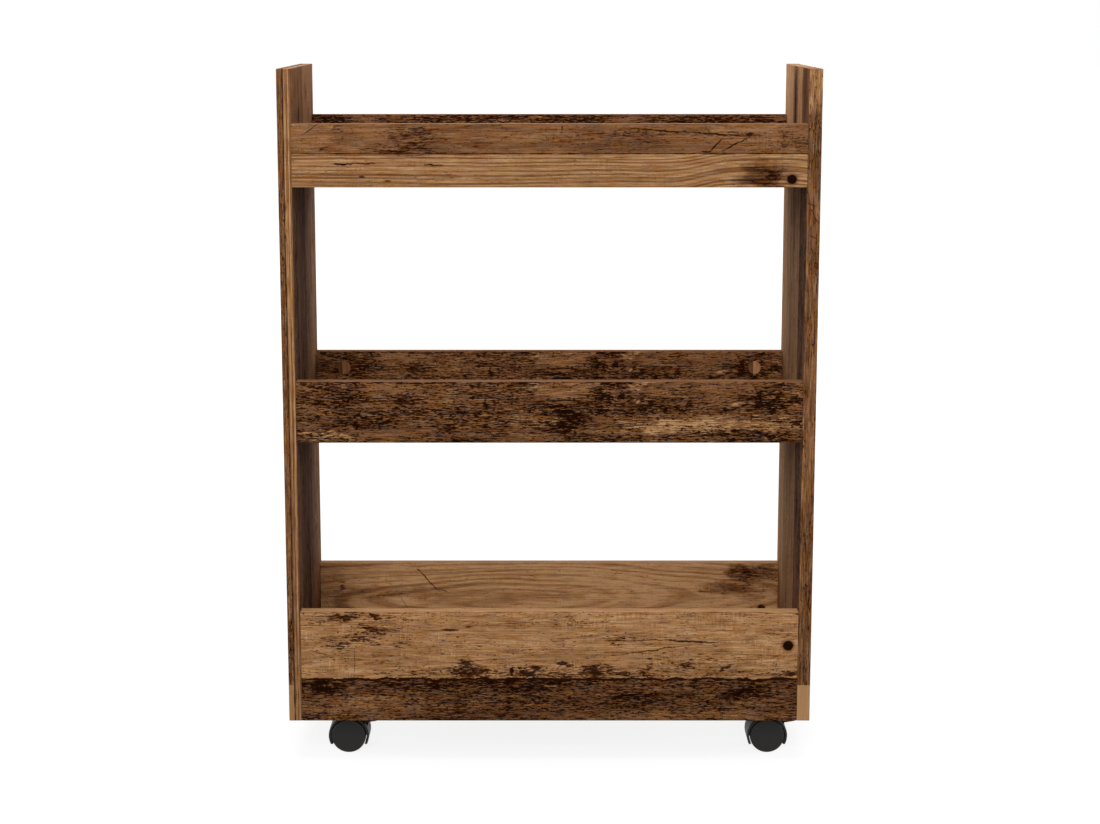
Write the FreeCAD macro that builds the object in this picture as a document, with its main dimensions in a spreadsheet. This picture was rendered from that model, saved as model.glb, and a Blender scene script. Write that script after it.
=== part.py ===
import FreeCAD, Part
import os
import re
import Sketcher
from FreeCAD import Placement, Rotation, Vector

# Rolling storage cart: two side panels, three shelves, six rails and four twin-wheel casters.
# Millimetres. Z is up, the floor is at zero, the front of the cart faces minus Y.

DIMENSIONS = {
    # Carcase
    "overall_width": 600,
    "overall_depth": 230,
    "panel_height": 745,
    "board_thickness": 15,
    "panel_rise": 60,
    "top_rail_height": 70,
    "middle_rail_height": 70,
    "bottom_rail_height": 130,
    "middle_rail_level": 327,
    # Cam joints
    "cam_diameter": 15,
    "cam_floor": 2.5,
    "cam_setback": 34,
    "cam_edge_drop": 20,
    "bottom_cam_level": 40,
    "joint_pitch": 32,
    "cam_slot_width": 5.4,
    "cam_chamber_width": 8.4,
    "cam_drive_diameter": 6,
    "cam_drive_depth": 2.5,
    "shelf_cam_spread": 50,
    "bolt_hole_diameter": 8,
    "bolt_thread_diameter": 5,
    "bolt_thread_length": 10,
    "bolt_shank_diameter": 6,
    "bolt_neck_diameter": 4,
    "bolt_neck_length": 8,
    "bolt_head_diameter": 7,
    "bolt_head_length": 3,
    "cap_diameter": 16,
    "cap_thickness": 0.8,
    "cap_plug_length": 2,
    # Dowels
    "dowel_diameter": 8,
    "dowel_length": 30,
    "dowel_face_depth": 10,
    "dowel_chamfer": 1,
    "shelf_dowel_spread": 150,
    "rail_dowel_spread": 300,
    # Fits
    "fit_clearance": 0.1,
    "running_clearance": 0.05,
    "hole_end_space": 0.5,
    # Casters
    "caster_side_inset": 55.5,
    "caster_end_inset": 44,
    "caster_trail": 10,
    "wheel_diameter": 40,
    "wheel_width": 11.5,
    "wheel_edge_radius": 1.5,
    "wheel_rim": 3,
    "wheel_face": 2,
    "wheel_hub_diameter": 10,
    "wheel_side_gap": 0.5,
    "web_thickness": 10,
    "web_floor": 3,
    "axle_diameter": 5,
    "axle_boss_diameter": 11,
    "hood_clearance": 1,
    "hood_wall": 2.5,
    "hood_width": 33,
    "hood_tip_drop": 10,
    "neck_diameter": 18,
    "neck_height": 2.5,
    "swivel_gap": 0.3,
    "plate_size": 42,
    "plate_thickness": 2,
    "plate_corner_radius": 5,
    "plate_hole_spacing": 32,
    "plate_hole_diameter": 4.2,
    "kingpin_diameter": 6,
    "kingpin_head_diameter": 9,
    "kingpin_head_height": 0.8,
    "kingpin_tail": 3,
    "clip_diameter": 8,
    "clip_thickness": 0.8,
    "clip_groove_depth": 0.7,
    "clip_gap": 0.3,
    "screw_diameter": 3.5,
    "screw_length": 12,
    "screw_head_diameter": 7,
    "screw_head_height": 1.8,
    # Brake levers
    "lever_width": 22,
    "lever_side_gap": 0.4,
    "lever_reach": 17.3,
    "lever_half_thickness": 1.5,
    "lever_lift": 1.5,
    "shoe_reach": 2.6,
    "shoe_drop": 4.9,
    "lever_pin_diameter": 1.6,
}

# Levels and lengths that follow from the sizes above
CASTER_HEIGHT = "(wheel_diameter + hood_clearance + hood_wall + neck_height + plate_thickness)"
INNER_WIDTH = "(overall_width - 2 * board_thickness)"
INNER_DEPTH = "(overall_depth - 2 * board_thickness)"
HALF_BOARD = "(board_thickness / 2)"
RAIL_CENTRE = "(overall_depth / 2 - board_thickness / 2)"
TOP_RAIL_LEVEL = "(panel_height - panel_rise - top_rail_height)"
CAM_DEPTH = "(board_thickness - cam_floor)"
CAM_CENTRE = f"({INNER_WIDTH} / 2 - cam_setback)"
DOWEL_SHANK = "(dowel_length - dowel_face_depth)"
DOWEL_HOLE = "(dowel_diameter + 2 * fit_clearance)"
CASTER_X = "(overall_width / 2 - caster_side_inset)"
CASTER_Y = "(overall_depth / 2 - caster_end_inset)"
AXLE_LEVEL = "(wheel_diameter / 2)"
HOOD_INSIDE = "(wheel_diameter / 2 + hood_clearance)"
HOOD_OUTSIDE = "(wheel_diameter / 2 + hood_clearance + hood_wall)"
PLATE_UNDERSIDE = f"({CASTER_HEIGHT} - plate_thickness)"
WEB_UNDERSIDE = "(wheel_diameter / 2 + web_floor)"
WHEEL_INSIDE = "(web_thickness / 2 + wheel_side_gap)"
WHEEL_OUTSIDE = f"({WHEEL_INSIDE} + wheel_width)"
AXLE_END = f"({WHEEL_OUTSIDE} - wheel_face - 2 * running_clearance)"
LEVER_PIVOT = "((wheel_diameter / 2 + hood_clearance + hood_wall / 2) * sqrt(0.5))"
PIVOT_X = f"(caster_trail + {LEVER_PIVOT})"
PIVOT_Z = f"({AXLE_LEVEL} + {LEVER_PIVOT})"

# Each rail: label word, height, level of its lower edge, cam level and dowel level above that edge
RAILS = [
    ("top", "top_rail_height", TOP_RAIL_LEVEL, "(top_rail_height - cam_edge_drop)",
     "(top_rail_height - cam_edge_drop - joint_pitch)"),
    ("middle", "middle_rail_height", "middle_rail_level", "(middle_rail_height - cam_edge_drop)",
     "(middle_rail_height - cam_edge_drop - joint_pitch)"),
    ("bottom", "bottom_rail_height", "0", "bottom_cam_level", "(bottom_cam_level + joint_pitch)"),
]
CASTERS = [("front_left", -1, -1), ("front_right", 1, -1), ("rear_left", -1, 1), ("rear_right", 1, 1)]

doc = FreeCAD.newDocument("rolling_storage_cart")
sheet = doc.addObject("Spreadsheet::Sheet", "Dimensions")
for row, (alias, number) in enumerate(DIMENSIONS.items(), 1):
    sheet.set(f"A{row}", alias)
    sheet.set(f"B{row}", str(number))
    sheet.setAlias(f"B{row}", alias)
doc.recompute()
nodes = {}


# Expressions

def spelled(expression):
    """Give each size in an expression the name of the sheet in front."""
    return re.sub(r"[a-z_]+", lambda word: f"Dimensions.{word.group()}" if word.group() in DIMENSIONS
                  else word.group(), expression)


def value(expression):
    return float(sheet.evalExpression(spelled(expression)))


def bind(item, name, expression):
    item.setExpression(name, spelled(expression))


def place(item, x="0", y="0", z="0", turn=None):
    """Put an object at a place that stays bound to the sheet."""
    item.Placement = Placement(Vector(value(x), value(y), value(z)), turn or Rotation())
    for axis, expression in zip("xyz", (x, y, z)):
        if expression != "0":
            bind(item, f"Placement.Base.{axis}", expression)
    return item


def keep(item, label):
    """Name an object as a finished piece of the cart."""
    item.Label = label
    nodes[label] = item
    return item


# Bodies with sketches

def new_body(label):
    return keep(doc.addObject("PartDesign::Body", f"body_{label}"), label)


def origin_item(body, role):
    return next(item for item in body.Origin.OriginFeatures if item.Role == role)


def new_sketch(body, plane, offset="0"):
    sketch = body.newObject("Sketcher::SketchObject", "sketch")
    sketch.AttachmentSupport = [(origin_item(body, plane), "")]
    sketch.MapMode = "FlatFace"
    if offset != "0":
        bind(sketch, "AttachmentOffset.Base.z", offset)
    return sketch


def hold_point(sketch, geometry, point, x, y):
    """Tie a sketch point to the origin with two bound distances."""
    for name, axis, expression in (("DistanceX", -2, x), ("DistanceY", -1, y)):
        if expression == "0":
            sketch.addConstraint(Sketcher.Constraint("PointOnObject", geometry, point, axis))
            continue
        index = sketch.addConstraint(
            Sketcher.Constraint(name, -1, 1, geometry, point, value(expression)))
        bind(sketch, f"Constraints[{index}]", expression)


def outline(body, plane, points, offset="0"):
    """A closed outline of straight lines through bound points."""
    sketch = new_sketch(body, plane, offset)
    corners = [Vector(value(x), value(y), 0) for x, y in points]
    count = len(corners)
    for number in range(count):
        sketch.addGeometry(Part.LineSegment(corners[number], corners[(number + 1) % count]), False)
    for number in range(count):
        sketch.addConstraint(Sketcher.Constraint("Coincident", number, 2, (number + 1) % count, 1))
    for number, (x, y) in enumerate(points):
        hold_point(sketch, number, 1, x, y)
    doc.recompute()
    return sketch


def rectangle(body, plane, left, right, low, high):
    return outline(body, plane, [(left, low), (right, low), (right, high), (left, high)])


def circles(body, plane, centres, diameter, offset="0"):
    sketch = new_sketch(body, plane, offset)
    for x, y in centres:
        circle = Part.Circle(Vector(value(x), value(y), 0), Vector(0, 0, 1), value(diameter) / 2)
        number = sketch.addGeometry(circle, False)
        hold_point(sketch, number, 3, x, y)
        index = sketch.addConstraint(Sketcher.Constraint("Diameter", number, value(diameter)))
        bind(sketch, f"Constraints[{index}]", diameter)
    doc.recompute()
    return sketch


def pad(body, sketch, length, backward=False):
    feature = body.newObject("PartDesign::Pad", "pad")
    feature.Profile = sketch
    feature.Reversed = backward
    bind(feature, "Length", length)
    doc.recompute()
    return feature


def pocket(body, sketch, depth, backward=False):
    """Cut a sketch into a body, and stop if it cut nothing."""
    before = body.Shape.Volume
    feature = body.newObject("PartDesign::Pocket", "pocket")
    feature.Profile = sketch
    feature.Reversed = backward
    bind(feature, "Length", depth)
    doc.recompute()
    if body.Shape.Volume > before - 1e-3:
        raise RuntimeError(f"a pocket of {body.Label} removes nothing")
    return feature


def mirror(body, features, plane):
    feature = body.newObject("PartDesign::Mirrored", "mirror")
    feature.Originals = features
    feature.MirrorPlane = (origin_item(body, plane), [""])
    body.Tip = feature
    doc.recompute()
    return feature


def revolve(body, sketch, axis):
    feature = body.newObject("PartDesign::Revolution", "revolution")
    feature.Profile = sketch
    feature.ReferenceAxis = (sketch, [axis])
    feature.Angle = 360
    doc.recompute()
    return feature


def round_edges(body, radius, chosen):
    """Round the edges of the body that a test picks out."""
    base = body.Tip
    names = [f"Edge{number}" for number, edge in enumerate(base.Shape.Edges, 1) if chosen(edge)]
    feature = body.newObject("PartDesign::Fillet", "fillet")
    feature.Base = (base, names)
    bind(feature, "Radius", radius)
    body.Tip = feature
    doc.recompute()
    return feature


# Solids and cuts

TURNS = {"X": Rotation(Vector(0, 1, 0), 90), "Y": Rotation(Vector(1, 0, 0), -90), "Z": Rotation()}


def cylinder(diameter, length, x="0", y="0", z="0", along="Z"):
    item = doc.addObject("Part::Cylinder", "cylinder")
    bind(item, "Radius", f"({diameter}) / 2")
    bind(item, "Height", length)
    return place(item, x, y, z, TURNS[along])


def cone(near_diameter, far_diameter, length, x="0", y="0", z="0", along="Z"):
    item = doc.addObject("Part::Cone", "cone")
    bind(item, "Radius1", f"({near_diameter}) / 2")
    bind(item, "Radius2", f"({far_diameter}) / 2")
    bind(item, "Height", length)
    return place(item, x, y, z, TURNS[along])


def box(length, width, height, x="0", y="0", z="0"):
    item = doc.addObject("Part::Box", "box")
    bind(item, "Length", length)
    bind(item, "Width", width)
    bind(item, "Height", height)
    return place(item, x, y, z)


def fuse(*items):
    if len(items) == 1:
        return items[0]
    whole = doc.addObject("Part::MultiFuse", "fusion")
    whole.Shapes = list(items)
    return whole


def cut(base, *tools):
    rest = doc.addObject("Part::Cut", "cut")
    rest.Base = base
    rest.Tool = fuse(*tools)
    return rest


def group(label, master, places):
    """Copies of one piece, as separate solids of one node."""
    copies = []
    for x, y, z, turn in places:
        copy = doc.addObject("App::Link", "copy")
        copy.LinkedObject = master
        copy.LinkTransform = False
        copies.append(place(copy, x, y, z, turn))
    whole = doc.addObject("Part::Compound", f"group_{label}")
    whole.Links = copies
    return keep(whole, label)


def signed(sign, expression):
    return expression if sign > 0 else f"-{expression}"


# Side panels: the inner face lies in the YZ plane of the body

def side_panel(label, side):
    body = new_body(label)
    half = "(overall_depth / 2)"
    pad(body, rectangle(body, "YZ_Plane", f"-{half}", half, "0", "panel_height"), "board_thickness", True)
    bolts = [(RAIL_CENTRE, f"{level} + {cam}") for _, _, level, cam, _ in RAILS]
    bolts += [("shelf_cam_spread / 2", f"{level} + {HALF_BOARD}") for _, _, level, _, _ in RAILS]
    dowels = [(RAIL_CENTRE, f"{level} + {dowel}") for _, _, level, _, dowel in RAILS]
    dowels += [("shelf_dowel_spread / 2", f"{level} + {HALF_BOARD}") for _, _, level, _, _ in RAILS]
    holes = [
        pocket(body, circles(body, "YZ_Plane", bolts, "bolt_thread_diameter + 2 * fit_clearance"),
               "bolt_thread_length + hole_end_space"),
        pocket(body, circles(body, "YZ_Plane", dowels, DOWEL_HOLE), "dowel_face_depth + hole_end_space"),
    ]
    mirror(body, holes, "XZ_Plane")
    turn = Rotation(Vector(0, 0, 1), 180 if side > 0 else 0)
    place(body, signed(side, f"({INNER_WIDTH} / 2)"), "0", CASTER_HEIGHT, turn)


# Rails: the inner face lies in the XZ plane of the body, the lower edge at its origin

def rail(label, side, height, level, cam, dowel):
    body = new_body(label)
    half = f"({INNER_WIDTH} / 2)"
    pad(body, rectangle(body, "XZ_Plane", f"-{half}", half, "0", height), "board_thickness")
    holes = [
        pocket(body, circles(body, "XZ_Plane", [(CAM_CENTRE, cam)], "cam_diameter"), CAM_DEPTH, True),
        pocket(body, circles(body, "XZ_Plane", [("rail_dowel_spread / 2", HALF_BOARD)], DOWEL_HOLE),
               "dowel_face_depth + hole_end_space", True),
        pocket(body, circles(body, "YZ_Plane", [(f"-{HALF_BOARD}", cam)], "bolt_hole_diameter", half),
               "cam_setback"),
        pocket(body, circles(body, "YZ_Plane", [(f"-{HALF_BOARD}", dowel)], DOWEL_HOLE, half),
               f"{DOWEL_SHANK} + hole_end_space"),
    ]
    mirror(body, holes, "YZ_Plane")
    turn = Rotation(Vector(0, 0, 1), 180 if side > 0 else 0)
    place(body, "0", signed(side, f"({INNER_DEPTH} / 2)"), f"{CASTER_HEIGHT} + {level}", turn)


# Shelves: the underside lies in the XY plane of the body

def shelf(label, level, screws):
    body = new_body(label)
    length = f"({INNER_WIDTH} / 2)"
    depth = f"({INNER_DEPTH} / 2)"
    pad(body, rectangle(body, "XY_Plane", f"-{length}", length, f"-{depth}", depth), "board_thickness")
    cams = [(CAM_CENTRE, "shelf_cam_spread / 2"), (CAM_CENTRE, "-shelf_cam_spread / 2")]
    bolts = [("shelf_cam_spread / 2", HALF_BOARD), ("-shelf_cam_spread / 2", HALF_BOARD)]
    ends = [("shelf_dowel_spread / 2", HALF_BOARD), ("-shelf_dowel_spread / 2", HALF_BOARD)]
    shank = f"{DOWEL_SHANK} + hole_end_space"
    holes = [
        pocket(body, circles(body, "XY_Plane", cams, "cam_diameter"), CAM_DEPTH, True),
        pocket(body, circles(body, "YZ_Plane", bolts, "bolt_hole_diameter", length), "cam_setback"),
        pocket(body, circles(body, "YZ_Plane", ends, DOWEL_HOLE, length), shank),
    ]
    mirror(body, holes, "YZ_Plane")
    edges = [("rail_dowel_spread / 2", HALF_BOARD), ("-rail_dowel_spread / 2", HALF_BOARD)]
    edge_holes = [pocket(body, circles(body, "XZ_Plane", edges, DOWEL_HOLE, depth), shank)]
    mirror(body, edge_holes, "XZ_Plane")
    if screws:
        spots = [(f"{signed(right, CASTER_X)} + {x}", f"{signed(back, CASTER_Y)} + {y}")
                 for _, right, back in CASTERS for x, y in plate_holes()]
        pocket(body, circles(body, "XY_Plane", spots, "screw_diameter + 2 * fit_clearance"),
               "screw_length - plate_thickness + hole_end_space", True)
    place(body, "0", "0", f"{CASTER_HEIGHT} + {level}")


def plate_holes():
    return [(f"{a}plate_hole_spacing / 2", f"{b}plate_hole_spacing / 2") for a in ("", "-") for b in ("", "-")]


# Joinery: the cam, its bolt and its cap share one frame. The board face is its XY plane,
# the cam goes down from it, and plus X points at the side panel.

def cam_places():
    places = []
    for right in (1, -1):
        x = signed(right, CAM_CENTRE)
        spin = Rotation(Vector(0, 0, 1), 0 if right > 0 else 180)
        for _, _, level, cam, _ in RAILS:
            for back in (1, -1):
                tilt = Rotation(Vector(1, 0, 0), 90 * back)
                places.append((x, signed(back, f"({INNER_DEPTH} / 2)"),
                               f"{CASTER_HEIGHT} + {level} + {cam}", tilt.multiply(spin)))
                flip = Rotation(Vector(1, 0, 0), 180)
                places.append((x, signed(back, "(shelf_cam_spread / 2)"),
                               f"{CASTER_HEIGHT} + {level}", flip.multiply(spin)))
    return places


def dowel_places():
    """Each dowel starts at a joint face and points along plus X of its frame."""
    places = []
    half = f"({INNER_WIDTH} / 2)"
    for _, _, level, _, dowel in RAILS:
        shelf_centre = f"{CASTER_HEIGHT} + {level} + {HALF_BOARD}"
        for first in (1, -1):
            inward = Rotation(Vector(0, 0, 1), 180 if first > 0 else 0)
            along_depth = Rotation(Vector(0, 0, 1), -90 * first)
            for second in (1, -1):
                places.append((signed(first, half), signed(second, RAIL_CENTRE),
                               f"{CASTER_HEIGHT} + {level} + {dowel}", inward))
                places.append((signed(first, half), signed(second, "(shelf_dowel_spread / 2)"),
                               shelf_centre, inward))
                places.append((signed(second, "(rail_dowel_spread / 2)"),
                               signed(first, f"({INNER_DEPTH} / 2)"), shelf_centre, along_depth))
    return places


def joinery():
    cam_blank = cylinder("cam_diameter - 2 * fit_clearance", f"{CAM_DEPTH} - fit_clearance",
                         z=f"-{CAM_DEPTH} + fit_clearance")
    slot = box("cam_diameter", "cam_slot_width", "cam_slot_width", "0", "-cam_slot_width / 2",
               f"-{HALF_BOARD} - cam_slot_width / 2")
    chamber = box("cam_diameter / 2", "cam_chamber_width", "cam_chamber_width", "-cam_diameter / 4",
                  "-cam_chamber_width / 2", f"-{HALF_BOARD} - cam_chamber_width / 2")
    drive = cylinder("cam_drive_diameter", "cam_drive_depth", z="-cam_drive_depth")
    cam_nut = cut(cam_blank, slot, chamber, drive)

    axis = f"-{HALF_BOARD}"
    head_end = "(bolt_head_length / 2)"
    neck_end = f"({head_end} + bolt_neck_length)"
    cam_bolt = fuse(
        cylinder("bolt_head_diameter", "bolt_head_length", f"-{head_end}", "0", axis, "X"),
        cylinder("bolt_neck_diameter", "bolt_neck_length", head_end, "0", axis, "X"),
        cylinder("bolt_shank_diameter", f"cam_setback - {neck_end}", neck_end, "0", axis, "X"),
        cylinder("bolt_thread_diameter", "bolt_thread_length", "cam_setback", "0", axis, "X"))
    cap = fuse(
        cylinder("cap_diameter", "cap_thickness"),
        cylinder("cam_drive_diameter - 2 * fit_clearance", "cap_plug_length", z="-cap_plug_length"))
    dowel = fuse(
        cone("dowel_diameter - 2 * dowel_chamfer", "dowel_diameter", "dowel_chamfer", "-dowel_face_depth",
             along="X"),
        cylinder("dowel_diameter", "dowel_length - 2 * dowel_chamfer", "dowel_chamfer - dowel_face_depth",
                 along="X"),
        cone("dowel_diameter", "dowel_diameter - 2 * dowel_chamfer", "dowel_chamfer",
             f"{DOWEL_SHANK} - dowel_chamfer", along="X"))
    screw = fuse(
        cylinder("screw_head_diameter", "screw_head_height", z="-screw_head_height"),
        cylinder("screw_diameter", "screw_length"))
    doc.recompute()

    group("cam_nuts", cam_nut, cam_places())
    group("cam_bolts", cam_bolt, cam_places())
    group("cam_cover_caps", cap, cam_places())
    group("wood_dowels", dowel, dowel_places())
    group("caster_plate_screws", screw,
          [(f"{signed(right, CASTER_X)} + {x}", f"{signed(back, CASTER_Y)} + {y}", PLATE_UNDERSIDE, Rotation())
           for _, right, back in CASTERS for x, y in plate_holes()])


# Casters: the frame of each one has its swivel axis on Z and the floor at zero

def mounting_plate(label):
    body = new_body(label)
    half = "(plate_size / 2)"
    pad(body, rectangle(body, "XY_Plane", f"-{half}", half, f"-{half}", half), "plate_thickness")
    round_edges(body, "plate_corner_radius", lambda edge: edge.BoundBox.ZLength > 0.1)
    pocket(body, circles(body, "XY_Plane", plate_holes(), "plate_hole_diameter"), "plate_thickness", True)
    pocket(body, circles(body, "XY_Plane", [("0", "0")], "kingpin_diameter + 2 * running_clearance"),
           "plate_thickness", True)
    head = circles(body, "XY_Plane", [("0", "0")], "kingpin_head_diameter + 2 * fit_clearance",
                   "plate_thickness")
    pocket(body, head, "kingpin_head_height")
    return body


def kingpin(label):
    body = new_body(label)
    radius = "kingpin_diameter / 2"
    groove = f"{radius} - clip_groove_depth"
    groove_top = f"{WEB_UNDERSIDE} - clip_gap + running_clearance"
    groove_low = f"{WEB_UNDERSIDE} - clip_gap - clip_thickness - running_clearance"
    low = f"{WEB_UNDERSIDE} - kingpin_tail"
    shoulder = f"{CASTER_HEIGHT} - kingpin_head_height"
    revolve(body, outline(body, "XZ_Plane", [
        ("0", low), (radius, low), (radius, groove_low), (groove, groove_low), (groove, groove_top),
        (radius, groove_top), (radius, shoulder), ("kingpin_head_diameter / 2", shoulder),
        ("kingpin_head_diameter / 2", CASTER_HEIGHT), ("0", CASTER_HEIGHT)]), "V_Axis")
    return body


def kingpin_clip(label):
    level = f"{WEB_UNDERSIDE} - clip_gap - clip_thickness"
    bore = "(kingpin_diameter - 2 * clip_groove_depth + 2 * running_clearance)"
    mouth = "(kingpin_diameter - 2 * clip_groove_depth - 4 * fit_clearance)"
    return keep(cut(
        cylinder("clip_diameter", "clip_thickness", z=level),
        cylinder(bore, "clip_thickness", z=level),
        box("clip_diameter", mouth, "clip_thickness", "0", f"-{mouth} / 2", level)), label)


def across(diameter, width, x, z):
    """A cylinder along Y, centred on the swivel axis."""
    return cylinder(diameter, width, x, f"-({width}) / 2", z, "Y")


def hood(label, braked):
    reach = f"(2 * {HOOD_OUTSIDE})"
    shell = cut(
        fuse(across(f"2 * {HOOD_OUTSIDE}", "hood_width", "caster_trail", AXLE_LEVEL),
             cylinder("neck_diameter", f"{PLATE_UNDERSIDE} - swivel_gap - {AXLE_LEVEL} - {HOOD_INSIDE} / 2",
                      z=f"{AXLE_LEVEL} + {HOOD_INSIDE} / 2")),
        across(f"2 * {HOOD_INSIDE}", "2 * hood_width", "caster_trail", AXLE_LEVEL),
        box(f"2 * {reach}", "2 * hood_width", reach, f"caster_trail - {reach}", "-hood_width",
            f"{AXLE_LEVEL} - hood_tip_drop - {reach}"))
    web = cut(
        across(f"2 * {HOOD_INSIDE} + hood_wall", "web_thickness", "caster_trail", AXLE_LEVEL),
        box(f"2 * {reach}", "2 * hood_width", reach, f"caster_trail - {reach}", "-hood_width",
            f"{WEB_UNDERSIDE} - {reach}"))
    boss = across("axle_boss_diameter", "web_thickness", "caster_trail", AXLE_LEVEL)
    holes = [
        cylinder("kingpin_diameter + 2 * running_clearance", CASTER_HEIGHT),
        across("axle_diameter + 2 * running_clearance", "2 * web_thickness", "caster_trail", AXLE_LEVEL)]
    if braked:
        window = "(lever_width + 2 * lever_side_gap)"
        holes.append(box(
            "lever_reach + 5", window, "shoe_drop + lever_half_thickness + lever_lift + 2.6",
            f"{PIVOT_X} - lever_half_thickness - 0.7", f"-{window} / 2", f"{PIVOT_Z} - shoe_drop - 1.4"))
        holes.append(across("lever_pin_diameter + 2 * running_clearance", "2 * hood_width",
                            PIVOT_X, PIVOT_Z))
    return keep(cut(fuse(shell, web, boss), *holes), label)


def wheel(label):
    """A dish with a hub and a closed outer face, on the plus Y side of the web."""
    body = new_body(label)
    radius = "wheel_diameter / 2"
    bore = "axle_diameter / 2 + running_clearance"
    face = f"{WHEEL_OUTSIDE} - wheel_face"
    revolve(body, outline(body, "XY_Plane", [
        ("0", face), (bore, face), (bore, WHEEL_INSIDE), ("wheel_hub_diameter / 2", WHEEL_INSIDE),
        ("wheel_hub_diameter / 2", face), (f"{radius} - wheel_rim", face),
        (f"{radius} - wheel_rim", WHEEL_INSIDE), (radius, WHEEL_INSIDE), (radius, WHEEL_OUTSIDE),
        ("0", WHEEL_OUTSIDE)]), "V_Axis")
    limit = value(radius) - 1e-4
    round_edges(body, "wheel_edge_radius",
                lambda edge: isinstance(edge.Curve, Part.Circle) and edge.Curve.Radius > limit)
    return body


def brake_lever(label):
    body = new_body(label)
    half = "lever_half_thickness"
    corners = [
        (f"-{half} - 0.1", half), ("lever_reach - 1.2", f"lever_lift + {half}"),
        ("lever_reach", f"lever_lift + {half} / 3"), ("lever_reach - 0.6", f"lever_lift - {half} * 0.6"),
        ("shoe_reach + 2.2", f"-{half} + 0.2"), ("shoe_reach", "-shoe_drop"), (f"{half} * 0.8", f"-{half} - 0.2"),
        (f"-{half} * 0.6", f"-{half} * 0.7")]
    width = "lever_width"
    pad(body, outline(body, "XZ_Plane", corners, f"-{width} / 2"), width)
    pin_hole = circles(body, "XZ_Plane", [("0", "0")], "lever_pin_diameter + 2 * running_clearance",
                       f"-{width} / 2")
    pocket(body, pin_hole, width, True)
    return body


def caster(name, right, back):
    x = signed(right, CASTER_X)
    y = signed(back, CASTER_Y)
    axle_x = f"{x} + caster_trail"
    braked = back < 0
    place(mounting_plate(f"{name}_caster_plate"), x, y, PLATE_UNDERSIDE)
    place(kingpin(f"{name}_kingpin"), x, y)
    place(kingpin_clip(f"{name}_kingpin_clip"), x, y)
    place(hood(f"{name}_caster_hood", braked), x, y)
    axle = keep(across("axle_diameter", f"2 * {AXLE_END}", "0", "0"), f"{name}_caster_axle")
    place(axle, axle_x, f"{y} - {AXLE_END}", AXLE_LEVEL, TURNS["Y"])
    place(wheel(f"{name}_caster_back_wheel"), axle_x, y, AXLE_LEVEL)
    place(wheel(f"{name}_caster_front_wheel"), axle_x, y, AXLE_LEVEL, Rotation(Vector(0, 0, 1), 180))
    if braked:
        place(brake_lever(f"{name}_brake_lever"), f"{x} + {PIVOT_X}", y, PIVOT_Z)
        pin = keep(across("lever_pin_diameter", "hood_width - 1", "0", "0"), f"{name}_brake_lever_pin")
        place(pin, f"{x} + {PIVOT_X}", f"{y} - (hood_width - 1) / 2", PIVOT_Z, TURNS["Y"])


side_panel("left_side_panel", -1)
side_panel("right_side_panel", 1)
for word, height, level, cam, dowel in RAILS:
    rail(f"{word}_front_rail", -1, height, level, cam, dowel)
    rail(f"{word}_back_rail", 1, height, level, cam, dowel)
    shelf(f"{word}_shelf", level, word == "bottom")
joinery()
for name, right, back in CASTERS:
    caster(name, right, back)
doc.recompute()

# Checks, then the files
for item in doc.Objects:
    if "Invalid" in item.State or "Error" in item.State:
        raise RuntimeError(f"{item.Name} ({item.Label}) is in state {item.State}")
os.makedirs("parts", exist_ok=True)
for label, item in nodes.items():
    if item.Shape.isNull() or not item.Shape.isValid():
        raise RuntimeError(f"{label} has no valid shape")
    item.Shape.exportStep(f"parts/{label}.step")
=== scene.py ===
"""Rolling storage cart: printed-wood boards on four twin-wheel casters, lit for a studio picture."""

import inspect
import math
from itertools import product

import bpy
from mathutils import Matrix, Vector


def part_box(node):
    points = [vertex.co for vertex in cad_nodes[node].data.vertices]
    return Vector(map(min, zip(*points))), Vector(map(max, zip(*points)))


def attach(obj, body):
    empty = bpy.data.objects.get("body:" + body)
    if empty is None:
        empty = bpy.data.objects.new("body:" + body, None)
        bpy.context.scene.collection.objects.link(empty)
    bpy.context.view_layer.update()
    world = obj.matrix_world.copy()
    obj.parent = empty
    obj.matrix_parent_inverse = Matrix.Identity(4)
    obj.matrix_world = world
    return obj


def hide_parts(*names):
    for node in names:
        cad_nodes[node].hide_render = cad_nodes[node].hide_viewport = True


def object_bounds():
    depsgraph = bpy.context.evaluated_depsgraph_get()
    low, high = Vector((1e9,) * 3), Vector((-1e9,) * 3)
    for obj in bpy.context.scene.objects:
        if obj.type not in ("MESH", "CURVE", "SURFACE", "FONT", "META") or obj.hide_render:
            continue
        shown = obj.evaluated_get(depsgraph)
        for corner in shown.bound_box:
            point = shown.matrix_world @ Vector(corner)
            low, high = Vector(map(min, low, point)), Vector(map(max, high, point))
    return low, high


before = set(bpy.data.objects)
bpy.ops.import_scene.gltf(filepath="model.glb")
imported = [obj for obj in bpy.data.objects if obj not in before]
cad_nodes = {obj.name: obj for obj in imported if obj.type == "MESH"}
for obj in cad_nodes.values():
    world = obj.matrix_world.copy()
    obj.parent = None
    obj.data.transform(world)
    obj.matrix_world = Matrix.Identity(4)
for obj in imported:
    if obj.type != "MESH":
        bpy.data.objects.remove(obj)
cad_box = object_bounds()

MM = 0.001

# Node wiring


def arithmetic(operation, turned=False):
    """A sign of arithmetic that adds a math node, its sides turned round for a number on the left."""

    def calculate(value, other):
        return value.wires.math(operation, *((other, value) if turned else (value, other)))

    return calculate


class Value:
    """What runs through one link of a node tree. Arithmetic with it adds math nodes."""

    def __init__(self, wires, socket):
        self.wires = wires
        self.socket = socket

    __add__ = __radd__ = arithmetic("ADD")
    __sub__ = arithmetic("SUBTRACT")
    __rsub__ = arithmetic("SUBTRACT", turned=True)
    __mul__ = arithmetic("MULTIPLY")
    __truediv__ = arithmetic("DIVIDE")


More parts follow.
